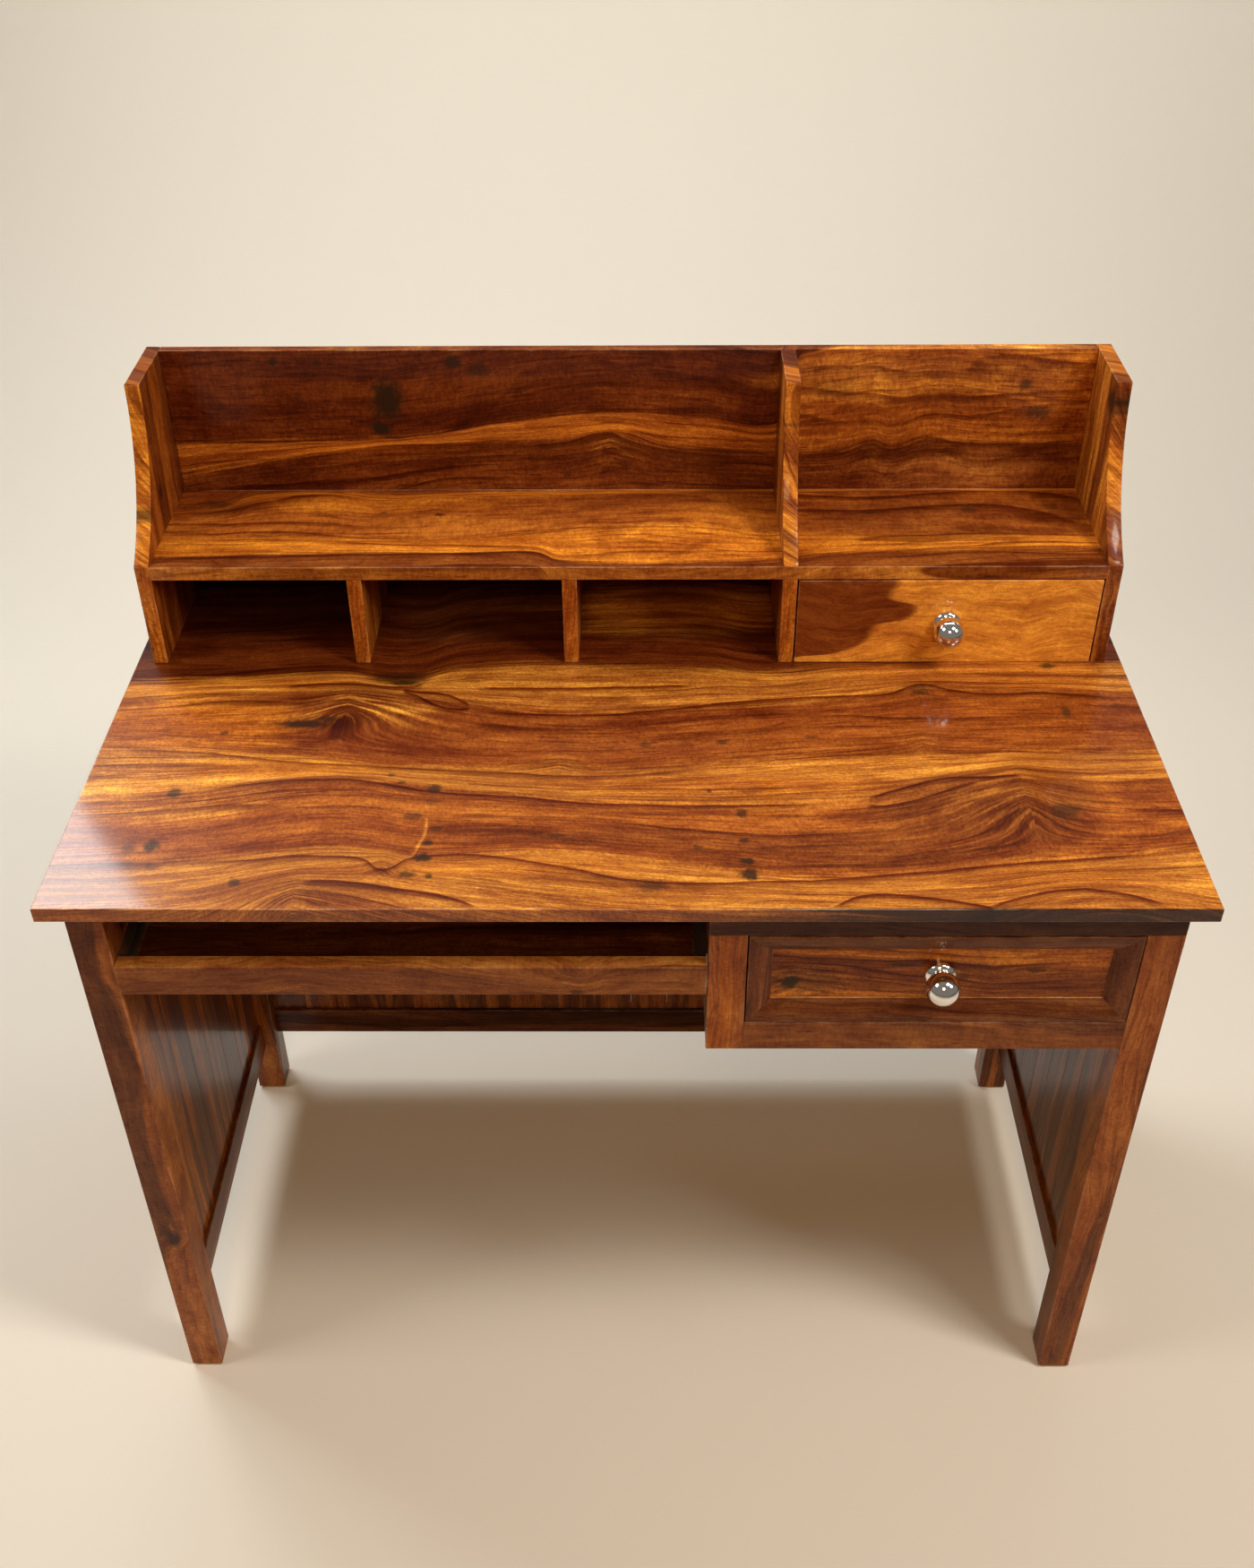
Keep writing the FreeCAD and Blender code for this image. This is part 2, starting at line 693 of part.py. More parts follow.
def make_tray():
    """The sliding tray, its front lip and the cleat that carries the left slide."""
    left = -leg_inside + size.slide_width
    right = size.bay_left - size.slide_width
    tray_depth = slide_back - size.tray_back_setback - lip_back
    tray = board("tray_panel", right - left, tray_depth, size.tray_thickness)
    place(tray, left, lip_back, tray_lift)
    lip_left = -leg_inside + size.lip_side_gap
    lip_right = size.bay_left - size.lip_side_gap
    lip = board("tray_lip", lip_right - lip_left, size.lip_thickness, size.lip_height)
    ease(lip, "Fillet", size.lip_round, is_long_front_edge)
    place(lip, lip_left, lip_front, tray_lift - size.lip_drop)
    cleat = board("slide_cleat", rail_inside - leg_inside, side_span, size.slide_height)
    place(cleat, -rail_inside, front_leg_back, slide_bottom)


# Drawers
FULL_TURN = 360


def make_drawer(name, left, right, front, bottom, height, sides, depth, gap):
    """A drawer box behind a front board that fills left to right.

    The sides are let into the front, and the bottom slides in grooves and under the back.
    sides holds the side boards' thickness and height and the front board's thickness, and gap is
    how far the box stands in from each end of the front board.
    """
    thickness, side_height, front_thickness = sides
    groove = size.drawer_groove
    rise = size.drawer_bottom_rise
    slot = size.drawer_bottom_thickness + size.joint_fit * 2
    width = right - left
    board_front = board(name + "_front", width, front_thickness, height)
    box_left = gap
    box_right = width - gap
    for side, start in (("left", box_left), ("right", box_right - thickness)):
        cut_block(board_front, side + "_housing",
                  (start - size.joint_fit, front_thickness - groove - size.joint_fit, 0),
                  (thickness + size.joint_fit * 2, groove + size.joint_fit, side_height + size.joint_fit))
    cut_block(board_front, "bottom_groove",
              (box_left + thickness, front_thickness - groove - size.joint_fit, rise - size.joint_fit),
              (box_right - box_left - thickness * 2, groove + size.joint_fit, slot))
    middle = (width / 2, 0, height / 2)
    drill(board_front, "knob_hole", middle, "back", size.screw_radius + size.screw_clearance, front_thickness)
    place(board_front, left, front, bottom)

    for side, start in (("left", box_left), ("right", box_right - thickness)):
        cheek = board(f"{name}_{side}_side", thickness, depth + groove, side_height)
        groove_x = thickness - groove if side == "left" else 0
        extent = (groove, depth + groove, slot)
        cut_block(cheek, "bottom_groove", (groove_x, 0, rise - size.joint_fit), extent)
        place(cheek, left + start, front + front_thickness - groove, bottom)

    inner = box_right - box_left - thickness * 2
    under = rise + size.drawer_bottom_thickness
    back = board(name + "_back", inner, thickness, side_height - under)
    place(back, left + box_left + thickness, front + front_thickness + depth - thickness, bottom + under)

    tongue = groove - size.joint_fit
    floor = board(name + "_bottom", inner + tongue * 2, depth + tongue, size.drawer_bottom_thickness)
    for side, start in (("left", as_length(0)), ("right", inner + tongue)):
        cut_block(floor, side + "_notch", (start, 0, 0), (tongue, tongue, size.drawer_bottom_thickness))
    place(floor, left + box_left + thickness - tongue, front + front_thickness - tongue, bottom + rise)

    knob_across = left + width / 2
    knob_rise = bottom + height / 2
    make_knob(name, knob_across, front, knob_rise)
    make_knob_screw(name, knob_across, front + front_thickness, knob_rise, front_thickness)


def make_knob(name, across, back, up):
    """A turned ball knob: a rounded collar, a short neck and the ball, in one piece."""
    knob = new_body(name + "_knob")
    sketch = sketch_on(knob, "YZ_Plane", name + "_knob_half")
    radius = size.knob_ball_radius
    neck = size.knob_neck_radius
    centre = size.knob_length - radius
    reach = math.sqrt(radius.number ** 2 - neck.number ** 2)
    root = Length(reach, f"sqrt({radius.text} ^ 2 - {neck.text} ^ 2)")
    collar_end = centre - root
    round_depth = collar_end - size.knob_collar_flat
    corners = [(0, 0), (-size.knob_length, 0), (-collar_end, neck),
               (-size.knob_collar_flat, size.knob_collar_radius), (0, size.knob_collar_radius)]
    outline(sketch, corners, {1: (radius, -1), 2: (round_depth * 2, -1)})
    turned = knob.newObject("PartDesign::Revolution", name + "_knob_turned")
    turned.Profile = sketch
    turned.ReferenceAxis = (sketch, ["H_Axis"])
    turned.Angle = FULL_TURN
    sketch.Visibility = False
    drill(knob, "bore", (0, 0, 0), "front", size.screw_radius + size.screw_clearance, size.knob_bore_depth)
    place(knob, across, back, up)


def make_knob_screw(name, across, back, up, front_thickness):
    screw = new_body(name + "_knob_screw")
    rod(screw, "AdditiveCylinder", "shank", (0, 0, 0), "front", size.screw_radius,
        front_thickness + size.screw_bite)
    rod(screw, "AdditiveCylinder", "head", (0, 0, 0), "back", size.screw_head_radius, size.screw_head_height)
    place(screw, across, back, up)


def make_desk_drawer():
    left = stile_right + size.front_reveal
    right = leg_inside - size.front_reveal
    bottom = bay_bottom + size.front_reveal
    height = bay_top - size.front_reveal - bottom
    gap = size.desk_side_gap - size.front_reveal
    sides = (size.desk_side_thickness, size.desk_side_height, size.desk_front_thickness)
    depth = back_rail_front - size.desk_drawer_back_gap - drawer_face - size.desk_front_thickness
    make_drawer("desk_drawer", left, right, drawer_face, bottom, height, sides, depth, gap)
    make_mouldings(left, right, bottom, bottom + height)


def make_mouldings(left, right, bottom, top):
    """Four mitred lengths of coved moulding round the recessed front, each turned from the bottom one."""
    about_y = Vector(0, 1, 0)
    lengths = {"bottom": right - left, "top": right - left, "left": top - bottom, "right": top - bottom}
    spots = {
        "bottom": (left, bottom, Rotation()),
        "top": (right, top, Rotation(about_y, 180)),
        "left": (left, top, Rotation(about_y, 90)),
        "right": (right, bottom, Rotation(about_y, -90)),
    }
    for edge, length in lengths.items():
        across, up, turn = spots[edge]
        moulding = mitred_moulding(edge + "_moulding", length)
        place(moulding, across, size.leg_front_inset, up, turn)


def mitred_moulding(label, length):
    """A moulding whose outer edge is at z = 0 and whose ends are cut at 45 degrees."""
    body = new_body(label)
    width = size.moulding_width
    deep = size.moulding_thickness
    section = sketch_on(body, "YZ_Plane", label + "_section")
    bead_foot = width - size.moulding_bead
    corners = [(0, 0), (deep, 0), (deep, width), (deep - size.moulding_bead_land, width),
               (size.moulding_inner_depth, bead_foot), (0, size.moulding_flat)]
    outline(section, corners, {3: (size.moulding_bead_radius, -1), 4: (size.moulding_cove_radius, 1)})
    pad(body, section, length)
    overrun = width * 2
    for end, corner, tip in (("first", 0, overrun), ("last", length, length - overrun)):
        mitre = sketch_on(body, "XZ_Plane", f"{label}_{end}_mitre")
        outline(mitre, [(corner, 0), (tip, overrun), (corner, overrun)])
        cut = body.newObject("PartDesign::Pocket", f"{label}_{end}_cut")
        cut.Profile = mitre
        cut.Midplane = True
        cut.Type = "ThroughAll"
        mitre.Visibility = False
    return body


def make_hutch_drawer():
    left = size.right_divider_left + size.board_thickness + size.front_reveal
    right = hutch_inside - size.front_reveal
    bottom = size.desk_height + size.running_gap
    height = shelf_bottom_rise - size.running_gap - size.front_reveal
    gap = size.hutch_side_gap - size.front_reveal
    sides = (size.hutch_side_thickness, size.hutch_side_height, size.hutch_front_thickness)
    depth = shelf_depth - size.hutch_drawer_back_gap - size.hutch_front_thickness
    make_drawer("hutch_drawer", left, right, hutch_front, bottom, height, sides, depth, gap)


# Hutch
def curved_edge_radius():
    """Radius of the swept front edge, which ends upright at the top."""
    run = size.hutch_depth - size.end_top_depth
    rise = size.hutch_rise - size.shelf_rise
    return (run * run + rise * rise) / (run * 2)


def make_hutch_end(side):
    """One end board: upright up to the shelf, then swept back in one hollow curve."""
    deep = size.hutch_depth
    corners = [(0, 0), (deep, 0), (deep, size.hutch_rise), (deep - size.end_top_depth, size.hutch_rise),
               (0, size.shelf_rise)]
    end = shaped_board(f"hutch_{side}_end", corners, {3: (curved_edge_radius(), -1)}, size.board_thickness)
    groove = size.housing_depth + size.joint_fit
    groove_x = across_from_outside(side, size.board_thickness, size.board_thickness - groove, groove)
    groove_rise = shelf_bottom_rise + (size.board_thickness - size.housing_width) / 2 - size.joint_fit
    cut_block(end, "shelf_housing", (groove_x, size.housing_stop - size.joint_fit, groove_rise),
              (groove, shelf_depth - size.housing_stop + size.joint_fit * 2,
               size.housing_width + size.joint_fit * 2))
    bore_board_foot(end)
    place(end, mirrored_left(side, hutch_inside, hutch_outside), hutch_front, size.desk_height)


def bore_board_foot(upright):
    """Pilot holes in the foot of an upright for the screws that come up through the desktop."""
    bite = size.hutch_screw_length - size.top_thickness
    for row, back in (("near", size.hutch_screw_inset), ("far", size.hutch_depth - size.hutch_screw_inset)):
        start = (size.board_thickness / 2, back, 0)
        drill(upright, row + "_pilot", start, "up", size.top_screw_radius, bite)


def make_dividers():
    """Three uprights under the shelf and one swept upright on it, let into stopped housings."""
    cheek = (size.board_thickness - size.housing_width) / 2
    tongue_depth = shelf_depth - size.housing_stop
    for name, across in (("left", size.left_divider_left), ("middle", size.middle_divider_left),
                         ("right", size.right_divider_left)):
        divider = board(f"hutch_{name}_divider", size.board_thickness, shelf_depth, shelf_bottom_rise)
        add_block(divider, "tongue", (cheek, size.housing_stop, shelf_bottom_rise),
                  (size.housing_width, tongue_depth, size.housing_depth))
        bore_board_foot(divider)
        place(divider, across, hutch_front, size.desk_height)
    rise = size.hutch_rise - size.shelf_rise
    corners = [(0, 0), (shelf_depth, 0), (shelf_depth, rise), (size.hutch_depth - size.end_top_depth, rise)]
    swept_side = {3: (curved_edge_radius(), -1)}
    upper = shaped_board("hutch_upper_divider", corners, swept_side, size.board_thickness)
    add_block(upper, "tongue", (cheek, size.housing_stop, -size.housing_depth),
              (size.housing_width, tongue_depth, size.housing_depth))
    place(upper, size.right_divider_left, hutch_front, size.desk_height + size.shelf_rise)


def make_shelf():
    """The shelf, with a stopped tongue at each end and housings for the uprights."""
    width = hutch_inside * 2
    shelf = board("hutch_shelf", width, shelf_depth, size.board_thickness)
    cheek = (size.board_thickness - size.housing_width) / 2
    tongue_depth = shelf_depth - size.housing_stop
    for name, start in (("left_tongue", -size.housing_depth), ("right_tongue", width)):
        add_block(shelf, name, (start, size.housing_stop, cheek),
                  (size.housing_depth, tongue_depth, size.housing_width))
    groove = size.housing_depth + size.joint_fit
    housings = (("left", size.left_divider_left, 0), ("middle", size.middle_divider_left, 0),
                ("right", size.right_divider_left, 0),
                ("upper", size.right_divider_left, size.board_thickness - groove))
    for name, across, rise in housings:
        start = across + hutch_inside + cheek - size.joint_fit
        cut_block(shelf, name + "_housing", (start, size.housing_stop - size.joint_fit, rise),
                  (size.housing_width + size.joint_fit * 2, tongue_depth + size.joint_fit, groove))
    place(shelf, -hutch_inside, hutch_front, size.desk_height + shelf_bottom_rise)


def make_hutch_back():
    back = board("hutch_back_panel", hutch_inside * 2, size.hutch_back_thickness, size.hutch_rise)
    place(back, -hutch_inside, size.desk_depth - size.hutch_back_thickness, size.desk_height)


# Screws
def screw_group(label, places, head_up, length):
    """Identical wood screws that point up, as one group of separate solids."""
    group = doc.addObject("Part::Feature", label)
    group.Label = label
    solids = []
    fit = size.joint_fit.number
    shank_radius = size.top_screw_radius.number - fit
    head_radius = size.screw_head_radius.number - fit
    head_height = size.screw_head_height.number
    for across, back in places:
        spot = Vector(across.number, (back - origin_depth).number, head_up.number)
        head = Part.makeCylinder(head_radius, head_height - fit, spot)
        shank = Part.makeCylinder(shank_radius, length.number - fit, spot)
        solids.append(head.fuse(shank).removeSplitter().Solids[0])
    group.Shape = Part.makeCompound(solids)
    pieces.append(group)


def make_screws():
    desktop_places = [(across, back) for name, across, back in top_screw_places()]
    head_up = apron_bottom + size.apron_height / 2 - size.screw_head_height
    screw_group("desktop_screws", desktop_places, head_up, size.top_screw_length)
    rows = (hutch_front + size.hutch_screw_inset, size.desk_depth - size.hutch_screw_inset)
    hutch_places = [(across, back) for across in hutch_screw_places().values() for back in rows]
    screw_group("hutch_screws", hutch_places, frame_top, size.hutch_screw_length)


def build():
    make_desktop()
    for row in ("front", "rear"):
        for side in SIDES:
            make_leg(side, row)
    for side in SIDES:
        make_side(side)
    make_back()
    make_drawer_bay()
    make_slides()
    make_tray()
    make_desk_drawer()
    for side in SIDES:
        make_hutch_end(side)
    make_shelf()
    make_dividers()
    make_hutch_back()
    make_hutch_drawer()
    make_screws()
    doc.recompute()


def check():
    """Stops before anything is written if a feature failed or a piece isn't a sound solid."""
    for item in doc.Objects:
        if "Invalid" in item.State or "Error" in item.State:
            raise RuntimeError(f"{item.Label} failed: {item.State}")
    for piece in pieces:
        if piece.Shape.isNull() or not piece.Shape.isValid() or not piece.Shape.Solids:
            raise RuntimeError(f"{piece.Label} is not a sound solid")


def export():
    os.makedirs("parts", exist_ok=True)
    for piece in pieces:
        piece.Shape.exportStep(os.path.join("parts", piece.Label + ".step"))


build()
check()
export()
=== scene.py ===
import json
import math

import bmesh
import bpy
from mathutils import Euler, Matrix, Vector


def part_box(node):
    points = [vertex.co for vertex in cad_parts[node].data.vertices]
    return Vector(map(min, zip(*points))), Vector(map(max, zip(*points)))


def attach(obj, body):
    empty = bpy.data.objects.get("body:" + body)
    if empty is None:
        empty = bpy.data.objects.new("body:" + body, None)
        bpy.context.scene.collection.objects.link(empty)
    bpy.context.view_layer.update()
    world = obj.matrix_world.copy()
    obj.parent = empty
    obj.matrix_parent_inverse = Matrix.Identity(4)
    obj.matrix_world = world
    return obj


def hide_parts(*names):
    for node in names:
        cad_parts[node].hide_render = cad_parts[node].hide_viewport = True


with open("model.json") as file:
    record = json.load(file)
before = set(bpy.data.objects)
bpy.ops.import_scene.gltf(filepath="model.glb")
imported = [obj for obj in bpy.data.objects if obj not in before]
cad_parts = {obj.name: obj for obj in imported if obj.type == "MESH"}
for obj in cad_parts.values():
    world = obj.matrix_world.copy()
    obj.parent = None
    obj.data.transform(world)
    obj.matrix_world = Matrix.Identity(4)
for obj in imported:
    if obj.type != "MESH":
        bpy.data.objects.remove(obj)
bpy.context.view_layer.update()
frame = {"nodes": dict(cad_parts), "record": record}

# Writing desk with a hutch in lacquered rosewood.
# The frame is in metres, the floor is z = 0 and the front of the desk faces -Y.
MM = 0.001

# Tones of the wood, in linear light.
HONEY = (0.86, 0.340, 0.042)
TOFFEE = (0.64, 0.235, 0.030)
GOLD = (0.68, 0.210, 0.017)
AMBER = (0.53, 0.160, 0.017)
COPPER = (0.43, 0.112, 0.013)
RED_BROWN = (0.31, 0.072, 0.010)
RUSSET = (0.24, 0.058, 0.009)
HEARTWOOD = (0.145, 0.027, 0.004)
WARM_BROWN = (0.40, 0.122, 0.023)
WALNUT = (0.180, 0.056, 0.015)
OAK_BROWN = (0.29, 0.092, 0.020)
DEEP_BROWN = (0.070, 0.019, 0.005)
KNOT = (0.028, 0.012, 0.005)
RAW_WOOD = (0.45, 0.24, 0.10)
BARE_EDGE = (1.0, 0.85, 0.6)
# A glue bead along a joint, painted paler as the highlight where its lacquer catches light.
GLUE_GLINT = (0.60, 0.42, 0.26)
# How much of each colour a dark growth line lets through.
VEIN = (0.26, 0.10, 0.05)


class Wiring:
    """Lays out the nodes of one tree."""

    def __init__(self, tree):
        self.tree = tree
        tree.nodes.clear()

    def node(self, kind, **settings):
        made = self.tree.nodes.new(kind)
        for name, value in settings.items():
            setattr(made, name, value)
        return made

    def feed(self, socket, value):
        if isinstance(value, bpy.types.NodeSocket):
            self.tree.links.new(value, socket)
        elif isinstance(value, (tuple, list, Vector)) and len(socket.default_value) == 4:
            socket.default_value = (*value[:3], 1)
        else:
            socket.default_value = value

    def math(self, operation, *values, clamp=False):
        made = self.node("ShaderNodeMath", operation=operation, use_clamp=clamp)
        for socket, value in zip(made.inputs, values):
            self.feed(socket, value)
        return made.outputs[0]

    def plus(self, first, second):
        return self.math("ADD", first, second)

    def minus(self, first, second):
        return self.math("SUBTRACT", first, second)

    def times(self, first, second):
        return self.math("MULTIPLY", first, second)

    def over(self, first, second, clamp=False):
        return self.math("DIVIDE", first, second, clamp=clamp)

    def most(self, first, second):
        return self.math("MAXIMUM", first, second)

    def least(self, first, second):
        return self.math("MINIMUM", first, second)

    def scaled(self, value, factor, added):
        """The value times the factor, and something added."""
        return self.math("MULTIPLY_ADD", value, factor, added)

    def swayed(self, value, noise, reach):
        """The value moved to and fro by a noise, this far in all."""
        return self.scaled(self.minus(noise, 0.5), reach, value)

    def mix(self, amount, first, second, blend="MIX"):
        made = self.node("ShaderNodeMix", data_type="RGBA", blend_type=blend)
        self.feed(made.inputs["Factor"], amount)
        self.feed(made.inputs[6], first)
        self.feed(made.inputs[7], second)
        return made.outputs[2]

    def blend_value(self, amount, first, second):
        made = self.node("ShaderNodeMix", data_type="FLOAT")
        self.feed(made.inputs["Factor"], amount)
        self.feed(made.inputs[2], first)
        self.feed(made.inputs[3], second)
        return made.outputs[0]

    def step(self, value, low, high):
        """0 below low, 1 above high, smooth between them."""
        made = self.node("ShaderNodeMapRange", interpolation_type="SMOOTHSTEP")
        self.feed(made.inputs["Value"], value)
        self.feed(made.inputs["From Min"], low)
        self.feed(made.inputs["From Max"], high)
        return made.outputs["Result"]

    def join(self, along, across, depth=0.0):
        made = self.node("ShaderNodeCombineXYZ")
        for socket, value in zip(made.inputs, (along, across, depth)):
            self.feed(socket, value)
        return made.outputs[0]

    def split(self, vector):
        made = self.node("ShaderNodeSeparateXYZ")
        self.feed(made.inputs[0], vector)
        return list(made.outputs)

    def place(self):
        """Where a point of the surface lies, on the object's own axes."""
        return self.node("ShaderNodeTexCoord").outputs["Object"]

    def noise(self, place, detail=2.0, rough=0.5, bend=0.0):
        made = self.node("ShaderNodeTexNoise", noise_dimensions="3D")
        self.feed(made.inputs["Vector"], place)
        made.inputs["Scale"].default_value = 1
        made.inputs["Detail"].default_value = detail
        made.inputs["Roughness"].default_value = rough
        made.inputs["Distortion"].default_value = bend
        return made.outputs["Fac"]

    def waves(self, along, across, per_metre, seed, detail=2.0, rough=0.5):
        """A noise with so many waves to the metre along a board and across it."""
        place = self.join(self.times(along, per_metre[0]), self.times(across, per_metre[1]), seed)
        return self.noise(place, detail, rough)

    def curve(self, value, points):
        """A smooth line through a few chosen points, both ways from 0 to 1."""
        made = self.node("ShaderNodeFloatCurve")
        line = made.mapping.curves[0]
        while len(line.points) < len(points):
            line.points.new(0.5, 0.5)
        for dot, (x, y) in zip(line.points, points):
            dot.location = (x, y)
        made.mapping.update()
        self.feed(made.inputs["Value"], value)
        return made.outputs[0]

    def ramp(self, value, stops):
        made = self.node("ShaderNodeValToRGB")
        line = made.color_ramp
        line.elements.remove(line.elements[-1])
        for number, (at, tone) in enumerate(stops):
            stop = line.elements.new(at) if number else line.elements[0]
            stop.position = at
            stop.color = (*tone, 1)
        self.feed(made.inputs[0], value)
        return made.outputs[0]

    def bump(self, height, strength, distance):
        made = self.node("ShaderNodeBump")
        made.inputs["Strength"].default_value = strength
        made.inputs["Distance"].default_value = distance
        self.feed(made.inputs["Height"], height)
        return made.outputs[0]

    def group(self, tree, **inputs):
        made = self.node("ShaderNodeGroup")
        made.node_tree = tree
        for name, value in inputs.items():
            self.feed(made.inputs[name.replace("_", " ").title()], value)
        return made.outputs


def new_group(name, inputs, outputs):
    """An empty shader node group with named sockets, and its wiring, inputs and output node."""
    tree = bpy.data.node_groups.new(name, "ShaderNodeTree")
    wires = Wiring(tree)
    for label, default in inputs.items():
        kind = "NodeSocketFloat" if isinstance(default, (int, float)) else "NodeSocketColor"
        socket = tree.interface.new_socket(label, in_out="INPUT", socket_type=kind)
        socket.default_value = default if kind == "NodeSocketFloat" else (*default, 1)
    for label in outputs:
        kind = "NodeSocketColor" if label == "Colour" else "NodeSocketFloat"
        tree.interface.new_socket(label, in_out="OUTPUT", socket_type=kind)
    source = wires.node("NodeGroupInput")
    sink = wires.node("NodeGroupOutput")
    return tree, wires, source.outputs, sink.inputs


# A place on a board, and the middle of the spot that a group makes there.
SPOT = {"Along": 0.0, "Across": 0.0, "At Along": 0.0, "At Across": 0.0}
# In what order a figure gives the sizes of its crotches, and of its knots and patches.
CROTCH_SIZES = ("at_along", "at_across", "run_before", "run_after", "spread", "lift", "burr_strength")
OVAL_SIZES = ("at_along", "at_across", "half_length", "half_width", "strength")


def make_crotch_group():
    """Growth lines lifted to a peak, as where a branch left the trunk, and the redder wood there."""
    tree, w, given, result = new_group(
        "grain_crotch",
        {**SPOT, "Flow": 0.0, "Run Before": 0.08, "Run After": 0.08, "Spread": 0.05, "Lift": 0.05,
         "Burr": 0.0, "Burr Strength": 0.5},
        ("Flow", "Burr"))
    round_peak = 0.00002
    offset = w.minus(given["Along"], given["At Along"])
    after = w.math("GREATER_THAN", offset, 0.0)
    run = w.blend_value(after, given["Run Before"], given["Run After"])
    soft_offset = w.math("SQRT", w.plus(w.times(offset, offset), round_peak))
    fall = w.math("EXPONENT", w.times(w.over(soft_offset, run), -1.0))
    rise = w.over(w.minus(given["Across"], given["At Across"]), given["Spread"])
    fade = w.math("EXPONENT", w.times(w.times(rise, rise), -1.0))
    nearness = w.times(fall, fade)
    w.feed(result["Flow"], w.minus(given["Flow"], w.times(nearness, given["Lift"])))
    burr = w.times(w.step(nearness, 0.15, 0.8), given["Burr Strength"])
    w.feed(result["Burr"], w.most(burr, given["Burr"]))
    return tree


def oval(w, given):
    """The square of how far a place is from the middle of its spot, where the rim is at 1."""
    x = w.over(w.minus(given["Along"], given["At Along"]), given["Half Length"])
    y = w.over(w.minus(given["Across"], given["At Across"]), given["Half Width"])
    return w.plus(w.times(x, x), w.times(y, y))


def make_knot_group():
    """One dark oval knot with a ragged rim, added to those before it."""
    tree, w, given, result = new_group(
        "dark_knot",
        {**SPOT, "Ragged": 0.0, "Half Length": 0.006, "Half Width": 0.005, "Strength": 1.0, "Knots": 0.0},
        ("Knots",))
    raggedness = 1.1
    radius = w.math("SQRT", oval(w, given))
    radius = w.plus(radius, w.times(w.minus(given["Ragged"], 0.5), raggedness))
    core = w.minus(1.0, w.step(radius, 0.45, 1.25))
    w.feed(result["Knots"], w.most(w.times(core, given["Strength"]), given["Knots"]))
    return tree


def make_patch_group():
    """A soft oval of wood redder or paler than the board around it, feathered along the grain."""
    tree, w, given, result = new_group(
        "wood_patch",
        {**SPOT, "Feather": 0.0, "Half Length": 0.1, "Half Width": 0.04, "Strength": 1.0},
        ("Patch",))
    feathering = 2.2
    spread = w.scaled(given["Feather"], feathering, oval(w, given))
    mask = w.minus(1.0, w.step(spread, 0.1, 1.5))
    w.feed(result["Patch"], w.times(mask, given["Strength"]))
    return tree


def make_grain_group():
    """Streaks, fine veins, pores and ripple that follow the growth lines of a board."""
    tree, w, given, result = new_group(
        "board_grain", {"Along": 0.0, "Flow": 0.0, "Depth": 0.0, "Seed": 0.0},
        ("Streak", "Vein", "Pore", "Ripple", "Mottle", "Flame"))
    along, flow, seed = given["Along"], given["Flow"], given["Seed"]
    third = w.plus(w.times(given["Depth"], 8.0), seed)

    def stripes(per_metre_along, per_metre_across, detail, rough, bend=0.0):
        place = w.join(w.times(along, per_metre_along), w.times(flow, per_metre_across), third)
        return w.noise(place, detail, rough, bend)

    def late_wood(per_metre, wander, reach, softest):
        """Growth rings at uneven distances: each darkens slowly to its late wood and then breaks off."""
        share = w.math("FRACT", w.scaled(flow, per_metre, w.times(wander, reach)))
        breaks_off = 0.94
        darker = w.math("POWER", w.step(share, softest, breaks_off), 1.6)
        return w.times(darker, w.minus(1.0, w.step(share, breaks_off, 1.0)))

    broad = stripes(3.0, 45.0, 4.0, 0.60)
    fine = stripes(18.0, 520.0, 4.0, 0.72)
    streak = w.plus(w.times(broad, 0.55), w.times(fine, 0.45))
    w.feed(result["Streak"], w.step(streak, 0.38, 0.62))
    w.feed(result["Flame"], w.step(stripes(14.0, 170.0, 5.0, 0.68), 0.45, 0.60))
    clear = w.step(stripes(3.0, 20.0, 3.0, 0.6), 0.40, 0.64)
    rings = w.times(late_wood(46.0, stripes(2.0, 17.0, 2.0, 0.5), 5.5, 0.40), clear)
    close = w.step(stripes(4.5, 42.0, 2.0, 0.55), 0.45, 0.68)
    hairs = w.times(late_wood(150.0, stripes(3.6, 40.0, 2.0, 0.55), 6.0, 0.35), close)
    w.feed(result["Vein"], w.most(rings, w.times(hairs, 0.7)))
    w.feed(result["Pore"], w.step(stripes(60.0, 1400.0, 1.0, 0.5), 0.60, 0.74))
    # The ripple is turned off the growth lines, or its noise would look woven.
    ripple_place = w.join(w.scaled(along, 270.0, w.times(flow, 170.0)),
                          w.scaled(along, -130.0, w.times(flow, 250.0)), third)
    w.feed(result["Ripple"], w.noise(ripple_place, 3.0, 0.75, 0.6))
    w.feed(result["Mottle"], stripes(22.0, 55.0, 5.0, 0.72, 0.6))
    return tree


